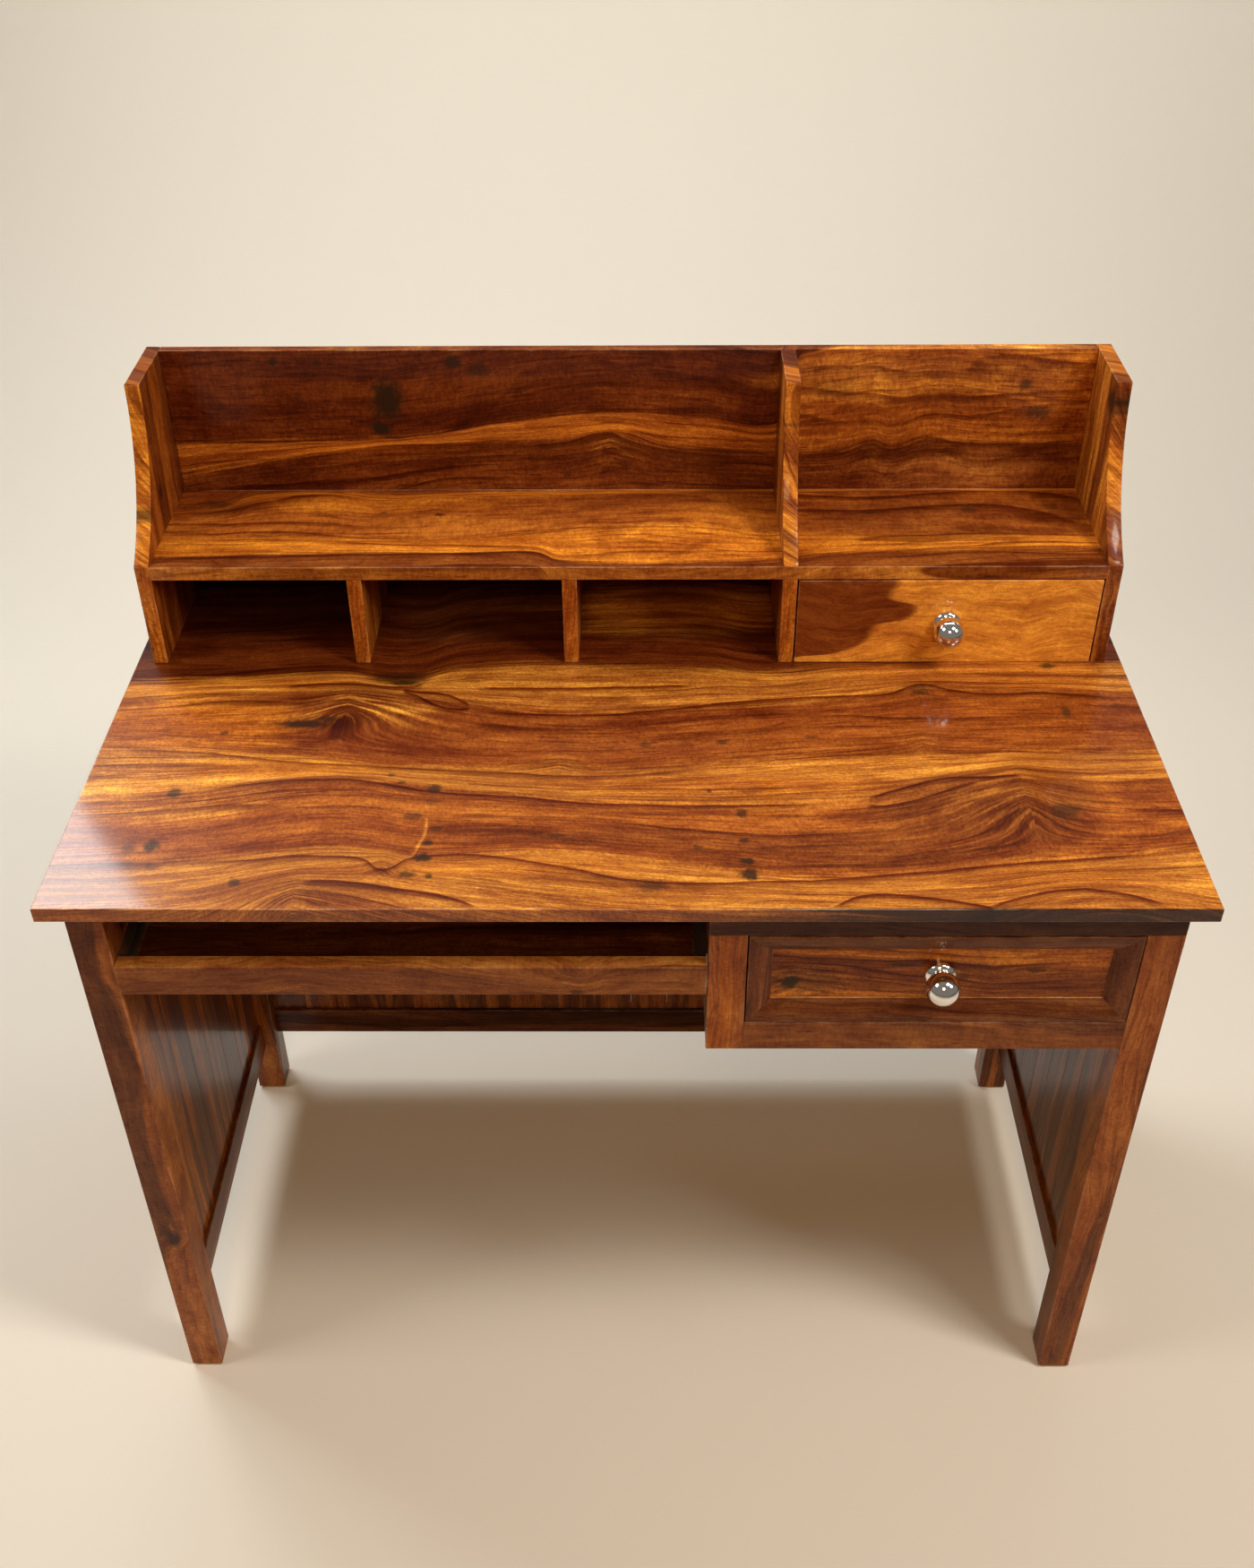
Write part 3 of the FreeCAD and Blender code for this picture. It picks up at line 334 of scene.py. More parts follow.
def make_tone_group():
    """Colour, roughness and relief of lacquered rosewood from its masks."""
    tree, w, given, result = new_group(
        "rosewood_tone",
        {"Base": AMBER, "Burr": 0.0, "Flame": 0.5, "Outline": 0.0, "Streak": 0.5, "Vein": 0.0, "Pore": 0.0,
         "Ripple": 0.5, "Mottle": 0.5, "Knots": 0.0, "Wear": 0.0, "Vein Strength": 0.7, "Lightness": 1.0},
        ("Colour", "Roughness", "Height"))
    flamed = w.mix(given["Flame"], HEARTWOOD, w.mix(0.45, given["Base"], HONEY))
    base = w.mix(given["Burr"], given["Base"], flamed)
    streak = w.blend_value(given["Streak"], 0.45, 1.20)
    bright = w.times(w.scaled(given["Mottle"], 1.6, 0.22), given["Lightness"])
    rippled = w.scaled(given["Ripple"], 1.70, 0.15)
    light = w.times(w.times(streak, bright), rippled)
    # Wood that darkens also reddens: its green and blue fall faster than its red.
    tint = w.join(light, w.math("POWER", light, 1.5), w.math("POWER", light, 1.4))
    streaked = w.mix(1.0, base, tint, "MULTIPLY")
    lines = w.most(given["Vein"], given["Outline"])
    lined = w.mix(w.times(lines, given["Vein Strength"]), streaked, VEIN, "MULTIPLY")
    pored = w.mix(w.times(given["Pore"], 0.6), lined, VEIN, "MULTIPLY")
    knotted = w.mix(given["Knots"], pored, KNOT)
    worn = w.mix(w.times(given["Wear"], 0.35), knotted, w.mix(0.4, given["Base"], BARE_EDGE))
    w.feed(result["Colour"], worn)
    rough = w.scaled(given["Mottle"], 0.16, 0.24)
    w.feed(result["Roughness"], w.plus(rough, w.times(given["Wear"], 0.2)))
    low = w.times(given["Pore"], -1.0)
    w.feed(result["Height"], w.plus(low, w.times(given["Streak"], 0.25)))
    return tree


def make_edge_group():
    """Worn lacquer along the edges of a board, from its distance to the sides of its box."""
    axes = ("X", "Y", "Z")
    tree, w, given, result = new_group(
        "edge_wear",
        {**{"Place " + axis: 0.0 for axis in axes}, **{"Low " + axis: 0.0 for axis in axes},
         **{"High " + axis: 1.0 for axis in axes}, "Reach": 1.6 * MM, "Patchy": 0.5},
        ("Wear",))
    gaps = []
    for axis in axes:
        low = w.minus(given["Place " + axis], given["Low " + axis])
        high = w.minus(given["High " + axis], given["Place " + axis])
        gaps.append(w.least(low, high))
    nearer = w.least(gaps[0], gaps[1])
    farther = w.most(gaps[0], gaps[1])
    second = w.most(nearer, w.least(farther, gaps[2]))
    edge = w.minus(1.0, w.step(second, 0.0, given["Reach"]))
    w.feed(result["Wear"], w.times(edge, w.step(given["Patchy"], 0.40, 0.62)))
    return tree


CROTCH = make_crotch_group()
KNOT_SPOT = make_knot_group()
PATCH = make_patch_group()
GRAIN = make_grain_group()
TONE = make_tone_group()
EDGE_WEAR = make_edge_group()


def shader(material, **inputs):
    """The material's Principled shader and output, with plain values on its own sockets."""
    material.use_nodes = True
    wires = Wiring(material.node_tree)
    body = wires.node("ShaderNodeBsdfPrincipled")
    out = wires.node("ShaderNodeOutputMaterial")
    wires.tree.links.new(body.outputs[0], out.inputs["Surface"])
    for name, value in inputs.items():
        wires.feed(body.inputs[name.replace("_", " ").title().replace("Ior", "IOR")], value)
    return wires, body


# How far the growth lines shift across a board for each metre that they go down into it.
SLANT = 0.55


def rosewood(name, box, order, seed=0.0, gold=0.5, band=0.05, pale=GOLD, dark=RED_BROWN, vein=0.7,
             figure=None, coat=0.15, gloss=0.10, strips=None, front_shade=1.0, top_shade=1.0,
             hollow_shades=None):
    """Lacquered rosewood for one board. order names the axes along, across and through its grain."""
    figure = figure or {}
    material = bpy.data.materials.new(name)
    w, body = shader(material, Coat_Weight=coat, Coat_Roughness=0.09, Coat_Ior=1.5, Ior=1.45)
    body.inputs["Specular IOR Level"].default_value = gloss
    axes = dict(zip("xyz", w.split(w.place())))
    low, high = box
    start = dict(zip("xyz", low))
    along, across, depth = (w.minus(axes[axis], start[axis]) for axis in order)
    slanted = w.scaled(w.minus(depth, figure.get("show_face", 0.0)), SLANT, across)
    lightness = 1.0
    if strips:
        axis, first, pitch = strips
        number = w.math("FLOOR", w.over(w.minus(axes[axis], first), pitch))
        lightness = w.scaled(w.noise(w.join(w.times(number, 3.7), seed), 0.0), 0.6, 0.65)
        seed = w.scaled(number, 5.3, seed)
    drift = w.waves(along, slanted, (2.3, 7.0), seed, 3.0)
    small_drift = w.waves(along, slanted, (14.0, 30.0), seed)
    flow = w.swayed(slanted, drift, figure.get("roam", 0.07))
    flow = w.swayed(flow, small_drift, figure.get("shiver", 0.006))
    burr = 0.0
    for row in figure.get("crotches", ()):
        crotch = w.group(CROTCH, along=along, across=across, flow=flow, burr=burr,
                         **dict(zip(CROTCH_SIZES, row)))
        flow, burr = crotch["Flow"], crotch["Burr"]
    if "edges" in figure:
        base, outline, flow = banded(w, along, flow, seed, figure)
    else:
        mask, outline = wild_bands(w, along, flow, seed, gold, band)
        base = w.mix(mask, dark, pale)
    if "patches" in figure:
        feathered = feather(w, along, flow, seed)
        for *sizes, tone in figure["patches"]:
            patch = w.group(PATCH, along=along, across=across, feather=feathered,
                            **dict(zip(OVAL_SIZES, sizes)))
            base = w.mix(patch["Patch"], base, tone)
    for line in figure.get("lines", ()):
        outline = w.most(drawn_line(w, along, across, small_drift, line), outline)
    for line in figure.get("scratches", ()):
        base = w.mix(drawn_line(w, across, along, small_drift, line), base, HONEY)
    knots = 0.0
    ragged = w.waves(along, across, (150.0, 150.0), seed, 2.0, 0.6)
    for row in figure.get("knots", ()):
        knots = w.group(KNOT_SPOT, along=along, across=across, ragged=ragged, knots=knots,
                        **dict(zip(OVAL_SIZES, row)))["Knots"]
    if figure.get("crossed"):
        along, flow = across, w.swayed(along, drift, 0.08)
    grain = w.group(GRAIN, along=along, flow=flow, depth=depth, seed=seed)
    streak, ripple = grain["Streak"], grain["Ripple"]
    if "calm" in figure:
        streak = w.swayed(0.5, streak, figure["calm"])
        ripple = w.swayed(0.5, ripple, figure["calm"])
    ends = {f"{end}_{axis}": corner[i] for end, corner in (("low", low), ("high", high))
            for i, axis in enumerate("xyz")}
    wear = w.group(EDGE_WEAR, place_x=axes["x"], place_y=axes["y"], place_z=axes["z"], patchy=grain["Mottle"],
                   **ends)["Wear"]
    # Painted light and shade on the front face: its colour is made lighter or darker by this factor, as the
    # lamps light that face more or less than the top.
    if front_shade != 1:
        behind = w.step(w.minus(axes["y"], low[1]), 0.1 * MM, 0.8 * MM)
        lightness = w.blend_value(behind, front_shade, lightness)
    # Painted light and shade by which way a face turns: faces turned to the front take the second factor, the
    # others the first, as the lamps light them unevenly.
    if hollow_shades:
        facing = w.split(w.node("ShaderNodeTexCoord").outputs["Normal"])[1]
        lightness = w.blend_value(w.step(w.times(facing, -1.0), 0.3, 0.7), *hollow_shades)
    # Painted light on the top face: its colour is made lighter by this factor, as a highlight where the lamps
    # above catch it.
    if top_shade > 1:
        under = w.step(w.minus(high[2], axes["z"]), 0.1 * MM, 0.5 * MM)
        lightness = w.blend_value(under, top_shade, lightness)
    tone = w.group(TONE, base=base, burr=burr, outline=outline, streak=streak, vein=grain["Vein"],
                   flame=grain["Flame"], pore=grain["Pore"], ripple=ripple, mottle=grain["Mottle"],
                   knots=knots, wear=wear, vein_strength=vein, lightness=lightness)
    w.feed(body.inputs["Base Color"], tone["Colour"])
    w.feed(body.inputs["Roughness"], tone["Roughness"])
    w.feed(body.inputs["Normal"], w.bump(tone["Height"], 0.12, 0.4 * MM))
    return material


def wild_bands(w, along, flow, seed, gold, band):
    """Sapwood and heartwood bands that come and go along the board."""
    place = w.join(w.times(along, 1.1), w.over(flow, band), w.plus(seed, 3.0))
    level = w.noise(place, 2.0, 0.45)
    edge = 0.5 + (0.5 - gold) * 0.5
    feathered = w.scaled(feather(w, along, flow, seed), 0.16, level)
    mask = w.step(feathered, edge - 0.05, edge + 0.07)
    outline = w.minus(1.0, w.step(w.math("ABSOLUTE", w.minus(level, edge - 0.01)), 0.0, 0.008))
    return mask, w.times(outline, 0.7)


def feather(w, along, flow, seed):
    """Fine streaks about zero, by which one band fingers into the next."""
    return w.minus(w.waves(along, flow, (5.0, 190.0), seed, 3.0, 0.6), 0.5)


def drawn_line(w, first, second, wobble, line):
    """A dark line on a chosen path: sharp on one side, fading on the other. first runs from start to end."""
    start, end, points, width, fade, strength = line
    wandering, thickness = 6.0 * MM, 2.2 * MM
    share = w.over(w.minus(first, start), end - start)
    path = w.swayed(w.times(w.curve(share, points), width), wobble, wandering)
    before = w.minus(path, second)
    past = w.most(w.minus(before, thickness), 0.0)
    soft = w.math("EXPONENT", w.over(past, -fade))
    core = w.times(soft, w.step(before, -0.7 * MM, 0.2 * MM))
    ends = w.times(w.step(share, 0.0, 0.10), w.minus(1.0, w.step(share, 0.90, 1.0)))
    return w.times(w.times(core, ends), strength)


def banded(w, along, flow, seed, figure):
    """Bands between chosen growth lines. Their tones are given from the first to the last."""
    length, width = figure["reach"]
    share = w.over(along, length, clamp=True)
    lines = [w.times(w.curve(share, points), width) for points in figure["edges"]]
    position = w.over(w.minus(flow, lines[0]), figure["outer_band"])
    # The grain runs on past the outermost bands.
    outside = w.least(w.plus(position, 1.0), 0.0)
    position = w.least(w.most(position, -1.0), 0.0)
    for before, after in zip(lines, lines[1:]):
        part = w.over(w.minus(flow, before), w.minus(after, before), clamp=True)
        position = w.plus(position, part)
    last = w.over(w.minus(flow, lines[-1]), figure["outer_band"])
    outside = w.plus(outside, w.most(w.minus(last, 1.0), 0.0))
    position = w.plus(position, w.least(w.most(last, 0.0), 1.0))
    bands = len(lines) + 1
    soft = figure.get("soft", 0.10)
    stops = []
    for number, tone in enumerate(figure["tones"]):
        if number:
            stops.append(((number + soft) / bands, tone))
        if number < bands - 1:
            stops.append(((number + 1 - soft) / bands, tone))
    ring_flow = w.times(w.plus(position, outside), width / bands)
    ragged = w.scaled(feather(w, along, ring_flow, seed), figure.get("ragged", 0.7), position)
    base = w.ramp(w.over(w.plus(ragged, 1.0), float(bands)), stops)
    nearest = w.math("ABSOLUTE", w.minus(position, w.math("ROUND", position)))
    line = w.minus(1.0, w.step(nearest, 0.0, 0.035))
    broken = w.step(w.waves(along, position, (6.0, 0.7), seed), 0.38, 0.6)
    outline = w.times(w.times(line, broken), figure.get("outline", 0.8))
    return base, outline, ring_flow


# Pieces
def merged_copy(node):
    """The node's mesh with its loose triangles merged, in a new bmesh."""
    mesh = bmesh.new()
    mesh.from_mesh(frame["nodes"][node].data)
    bmesh.ops.remove_doubles(mesh, verts=mesh.verts, dist=0.002 * MM)
    flat = math.radians(0.4)
    bmesh.ops.dissolve_limit(mesh, angle_limit=flat, verts=mesh.verts, edges=mesh.edges, delimit={"NORMAL"})
    return mesh


def corners(verts):
    low = Vector(min(v.co[i] for v in verts) for i in range(3))
    high = Vector(max(v.co[i] for v in verts) for i in range(3))
    return low, high


def rim_edges(mesh, low, high, shaped):
    """The long outer edges of a board. On a shaped board they follow its two broad faces."""
    sharp = math.radians(25)
    chosen = []
    for edge in mesh.edges:
        if len(edge.link_faces) != 2 or edge.calc_face_angle(0) < sharp:
            continue
        middle = (edge.verts[0].co + edge.verts[1].co) / 2
        near = [min(middle[i] - low[i], high[i] - middle[i]) < 0.05 * MM for i in range(3)]
        if sum(near) >= 2 or (shaped and near[0]):
            chosen.append(edge)
    return chosen


def ease(mesh, edges, offset, segments, clamp):
    """Rounds some edges over, and gives the new faces."""
    return bmesh.ops.bevel(mesh, geom=edges, offset=offset, offset_type="OFFSET", segments=segments,
                           profile=0.5, affect="EDGES", clamp_overlap=clamp)["faces"]


def add_object(name, data):
    made = bpy.data.objects.new(name, data)
    bpy.context.collection.objects.link(made)
    return made


def mesh_data(name, mesh):
    """What the bmesh holds, as mesh data."""
    data = bpy.data.meshes.new(name)
    mesh.to_mesh(data)
    mesh.free()
    return data


def finish_piece(name, mesh, material, node):
    """A new piece that takes a node's place on its body."""
    piece = add_object(name, mesh_data(name, mesh))
    piece.data.materials.append(material)
    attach(piece, BODY_OF[node])
    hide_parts(node)


BODY_OF = {node: body for body, nodes in frame["record"]["behaviour"]["bodies"].items() for node in nodes}


def board_material(node, order, **choices):
    low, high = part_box(node)
    return rosewood(node + "_wood", (tuple(low), tuple(high)), order, **choices)


def board(node, order, offset=0.9 * MM, shaped=False, **choices):
    """A copy of a board in its own stretch of wood, with its outer edges eased as sandpaper leaves them."""
    material = board_material(node, order, **choices)
    mesh = merged_copy(node)
    low, high = corners(mesh.verts)
    for face in ease(mesh, rim_edges(mesh, low, high, shaped), offset, 3, False):
        face.smooth = True
    finish_piece(node + "_board", mesh, material, node)


def dress(node, material):
    """Gives a piece that keeps its own mesh its finish."""
    data = frame["nodes"][node].data
    data.materials.clear()
    data.materials.append(material)


# Figures of the boards. Their rows are in millimetres from the corner of each board's box where x, y and z
# are least. Across the board, from_hutch, from_top and from_back count from another edge instead.
# crotches: along, across, run before, run after, spread, lift, how much redder the wood is.
# knots: along, across, half the length, half the width, strength. patches add a tone.
# lines: how far one fades on its soft side, its strength, and its places along and across.
# edges, between two bands: places as a share along, and across. tones: those of the bands.
# roam, shiver: how far the growth lines wander, slowly and quickly, in metres.
# outer_band: how wide the first and last bands are, in metres. reach: the board's length and width.
# soft, ragged, outline: how soft, how feathered and how dark the edges are. calm: how strong the streaks are.
# crossed: the streaks run across the bands. show_face: how deep the face lies for which places are given.
def from_corner(distance):
    """Across a board, for a place that lies so far from where x, y and z are least."""
    return distance


def placed(turn, rows):
    """Crotches, knots or patches in metres, where the last numbers and tones of a row aren't lengths."""
    turned = []
    for row in rows:
        sizes = len(row) - (2 if isinstance(row[-1], tuple) else 1)
        along, across, *others = (length * MM for length in row[:sizes])
        turned.append((along, turn(across), *others, *row[sizes:]))
    return turned


def drawn(turn, width, rows):
    """Lines on a board this wide: start, end, path in shares of both, width, fade and strength."""
    lines = []
    for fade, strength, points in rows:
        start, end = points[0][0], points[-1][0]
        path = [((x - start) / (end - start), turn(y * MM) / width) for x, y in points]
        lines.append((start * MM, end * MM, path, width, fade * MM, strength))
    return lines


def grown(turn, width, rows):
    """Edges between bands, on a board this wide, as shares of it."""
    return [[(x, turn(y * MM) / width) for x, y in row] for row in rows]


def size_of(node):
    low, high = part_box(node)
    return high - low


def from_hutch(distance):
    """Across the desktop, for a place that lies so far in front of the hutch."""
    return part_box("hutch_shelf")[0].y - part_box("desktop")[0].y - distance


DESK = size_of("desktop")
# The bands' edges run from the front edge of the desktop to its back.
DESK_FIGURE = {
    "edges": grown(from_hutch, DESK.y, [
        [(0, 400), (0.13, 392), (0.24, 362), (0.36, 372), (0.5, 392), (0.66, 400), (0.8, 402), (0.9, 385),
         (1, 400)],
        [(0, 352), (0.12, 345), (0.25, 322), (0.31, 338), (0.42, 332), (0.55, 350), (0.68, 368),
         (0.85, 350), (1, 328)],
        [(0, 250), (0.1, 238), (0.22, 212), (0.34, 226), (0.5, 248), (0.66, 254), (0.76, 252), (0.86, 232),
         (1, 214)],
        [(0, 158), (0.15, 168), (0.3, 192), (0.45, 202), (0.58, 192), (0.68, 182), (0.84, 176), (1, 168)],
        [(0, 72), (0.12, 64), (0.22, 80), (0.32, 92), (0.45, 98), (0.6, 82), (0.74, 62), (0.84, 50),
         (1, 62)],
        [(0, 40), (0.12, 34), (0.2, 26), (0.28, 40), (0.33, 14), (0.45, 4), (0.58, 4), (0.64, 20),
         (0.72, 8), (1, -2)],
    ]),
    "tones": [TOFFEE, TOFFEE, COPPER, TOFFEE, RED_BROWN, TOFFEE, HEARTWOOD],
    "patches": placed(from_hutch, [
        # The GOLD patch at 90, 115 and the HONEY patch at 80, 235 make the desktop's left paler: partly the
        # wood's own tone, partly painted light and sheen, as the lamps at the left light it more.
        (90, 115, 130, 55, 0.85, GOLD), (270, 115, 85, 60, 0.75, RED_BROWN),
        (360, 150, 110, 26, 0.7, RED_BROWN), (900, 270, 120, 60, 0.9, RUSSET),
        (760, 325, 160, 30, 0.8, RUSSET), (560, 305, 110, 14, 0.6, RUSSET),
        (250, 385, 90, 24, 0.7, RED_BROWN), (980, 70, 110, 50, 0.5, COPPER), (80, 235, 110, 40, 0.8, HONEY),
        (650, 225, 200, 18, 0.6, GOLD), (180, 195, 130, 16, 0.6, GOLD), (960, 365, 110, 20, 0.7, AMBER),
        # Under the hutch, in its cubbies, the DEEP_BROWN patch at 140, -120, the WALNUT patch at 370, -110
        # and the HEARTWOOD patch at 605, -20 are painted shade; the HONEY patch at 605, -125 is painted light
        # where more light reaches in.
        (420, 350, 150, 14, 0.55, GOLD), (160, 45, 90, 18, 0.6, GOLD), (140, -120, 140, 70, 1, DEEP_BROWN),
        (605, -125, 140, 75, 1, HONEY), (370, -110, 130, 70, 0.9, WALNUT), (90, 55, 90, 26, 0.7, HONEY),
        (298, 30, 36, 14, 0.9, DEEP_BROWN), (232, 112, 46, 14, 0.85, HEARTWOOD),
        (305, 88, 50, 10, 0.6, HONEY), (965, 245, 65, 32, 0.85, RUSSET), (1010, 184, 80, 18, 0.5, RED_BROWN),
        (37, 372, 50, 30, 0.5, RUSSET), (605, -20, 140, 42, 1, HEARTWOOD),
        (930, 410, 300, 1.5, 1, DEEP_BROWN),
    ]),
    "lines": drawn(from_hutch, DESK.y, [
        (8.8, 1.25, [(378, 50), (440, 48.5), (500, 49), (560, 47), (630, 45)]),
        (6.4, 1.25, [(300, 50), (318, 55), (350, 61), (372, 74), (384, 86)]),
        (5.6, 1.25, [(300, 52), (320, 63), (344, 81), (366, 88), (384, 86)]),
        (6.4, 1.1875, [(360, 86), (425, 97), (500, 100), (565, 94), (656, 78), (750, 67), (838, 59),
         (860, 46), (876, 43), (900, 53), (950, 62), (1000, 59), (1100, 75)]),
        (8, 1.125, [(170, 46), (215, 40), (260, 42), (300, 46), (325, 38), (335, 20)]),
        (4.8, 1, [(0, 160), (100, 166), (200, 182), (320, 194), (420, 200), (470, 206), (560, 205),
         (640, 190)]),
        (5.6, 1.125, [(100, 240), (160, 222), (230, 212), (290, 216), (350, 232), (420, 240), (520, 252),
         (640, 256), (760, 254)]),
        (5.6, 1.1875, [(784, 250), (800, 240), (830, 226), (870, 212), (910, 209), (960, 206)]),
        (4.8, 1.0625, [(784, 250), (794, 256), (830, 250), (870, 232), (910, 214)]),
        (5.6, 1.125, [(100, 345), (180, 340), (250, 333), (300, 338), (318, 352), (345, 336), (420, 334),
         (500, 352), (560, 368), (700, 370), (820, 358), (960, 340), (1100, 330)]),
        (7.2, 1.25, [(240, 372), (280, 370), (340, 381), (380, 390), (420, 410)]),
        (6.4, 1.1875, [(736, 410), (770, 391), (820, 392), (900, 410)]),
        (6.4, 1.1875, [(880, 408), (920, 392), (960, 382), (1000, 384), (1050, 404)]),
    ]),
    "scratches": [
        (from_hutch(0.349), from_hutch(0.273),
         [(0.0, 0.298), (0.12, 0.311), (0.40, 0.3185), (0.75, 0.3236), (1.0, 0.321)],
         DESK.x, 0.9 * MM, 0.9),
    ],
    "reach": (DESK.x, DESK.y),
    "show_face": DESK.z,
    "outer_band": 0.06, "roam": 0.014, "shiver": 0.003, "outline": 0.75,
    "crotches": placed(from_hutch, [
        (246, 88, 60, 120, 50, 58, 0.95), (950, 250, 110, 50, 60, 58, 0.6), (240, 392, 40, 60, 30, 30, 0.7),
        (480, 190, 35, 30, 20, 14, 0.6), (318, 345, 18, 18, 18, 18, 0.45), (868, 54, 30, 24, 16, 14, 0.7),
        (858, 150, 20, 18, 20, 16, 0.5),
    ]),
    "knots": placed(from_hutch, [
        (205, 117, 28, 8, 0.9), (230, 108, 12, 5, 0.7), (304, 40, 18, 5, 0.85), (985, 262, 18, 8, 0.6),
        (95, 236, 8, 9, 0.75), (91, 319, 9, 10, 0.85), (69, 322, 7, 8, 0.45), (100, 350, 8, 7, 0.35),
        (182, 373, 7, 6, 0.75), (356, 229, 9, 8, 0.8), (339, 273, 11, 6, 0.6), (356, 250, 9, 6, 0.4),
        (364, 292, 7, 5, 0.6), (358, 314, 6, 5, 0.85), (355, 336, 10, 7, 0.9), (342, 361, 10, 6, 0.7),
        (364, 363, 4, 4, 0.8), (574, 378, 16, 9, 0.55), (664, 269, 6, 8, 0.75), (664, 311, 6, 4, 0.8),
        (666, 342, 8, 6, 0.92), (667, 361, 10, 9, 0.92), (1019, 97, 6, 10, 0.75), (1016, 8, 10, 6, 0.8),
        (869, 54, 13, 10, 0.6), (649, 150, 7, 5, 0.7), (569, 155, 7, 5, 0.6), (742, 141, 8, 4, 0.6),
        (125, 133, 5, 4, 0.7), (981, 269, 14, 9, 0.6), (481, 303, 10, 4, 0.6), (619, 322, 6, 5, 0.6),
        (310, 206, 5, 3, 0.6), (322, 219, 5, 3, 0.6), (633, 233, 3, 3, 0.7),
    ]),
}

BACK = size_of("hutch_back_panel")


def from_top(distance):
    """Up the hutch's back panel, for a place that lies so far under its top edge."""
    return BACK.z - distance


# The bands' edges run from the lowest to the highest.
BACK_FIGURE = {
    "edges": grown(from_top, BACK.z, [
        [(0, 286), (0.22, 280), (0.28, 226), (0.45, 222), (0.64, 210), (0.8, 242), (1, 262)],
        [(0, 216), (0.22, 220), (0.3, 206), (0.45, 204), (0.64, 196), (0.8, 212), (1, 210)],
        [(0, 148), (0.1, 130), (0.2, 117), (0.3, 112), (0.44, 108), (0.49, 106), (0.54, 118), (0.66, 126),
         (0.7, 125), (0.735, 122), (0.77, 114), (0.785, 119), (0.83, 107), (0.87, 112), (0.91, 113),
         (1, 109)],
        [(0, 110), (0.15, 108), (0.24, 106), (0.39, 82), (0.47, 75), (0.58, 80), (0.66, 90), (0.685, 4),
         (1, 0)],
    ]),
    "tones": [COPPER, RED_BROWN, RUSSET, AMBER, HEARTWOOD],
    "patches": placed(from_top, [
        (900, 150, 110, 30, 0.9, WARM_BROWN), (560, 135, 120, 18, 0.5, HEARTWOOD),
        (800, 125, 90, 8, 0.6, HEARTWOOD), (200, 118, 120, 6, 0.5, GOLD), (500, 92, 120, 8, 0.5, GOLD),
        (480, 60, 150, 18, 0.5, RUSSET), (900, 60, 60, 22, 0.5, RED_BROWN), (850, 36, 170, 30, 0.8, TOFFEE),
    ]),
    "lines": drawn(from_top, BACK.z, [
        (9, 0.9375, [(0, 152), (103, 134), (206, 120), (309, 114), (440, 110), (492, 97), (512, 106),
         (560, 120), (680, 128)]),
        (6, 0.6875, [(60, 150), (200, 137), (330, 128), (450, 124), (505, 116), (570, 134), (650, 140)]),
        (7, 0.9, [(690, 126), (757, 123), (793, 112), (812, 119), (855, 106), (896, 112), (937, 113),
         (1030, 108)]),
        (5, 0.7, [(690, 142), (757, 137), (797, 125), (824, 132), (865, 119), (906, 126), (948, 127),
         (1030, 121)]),
    ]),
    "reach": (BACK.x, BACK.z),
    "outer_band": 0.12, "roam": 0.014, "shiver": 0.006, "soft": 0.05, "ragged": 0.35, "outline": 0.8,
    "crotches": placed(from_top, [
        (497, 118, 34, 30, 24, 14, 0.8), (795, 122, 16, 12, 14, 9, 0.5), (885, 125, 30, 26, 14, 7, 0.5),
    ]),
    "knots": placed(from_top, [
        (245, 60, 19, 30, 1), (235, 93, 13, 10, 1), (322, 14, 10, 9, 0.85), (350, 24, 14, 10, 0.7),
        (123, 13, 6, 5, 0.85), (172, 14, 6, 4, 0.55), (955, 42, 8, 7, 0.75), (975, 75, 16, 8, 0.6),
        (745, 46, 30, 12, 0.3), (252, 104, 12, 4, 0.5), (146, 54, 4, 6, 0.5), (445, 150, 6, 4, 0.5),
    ]),
}

SHELF = size_of("hutch_shelf")


def from_back(distance):
    """Across the hutch's shelf, for a place that lies so far in front of its back panel."""
    return SHELF.y - distance


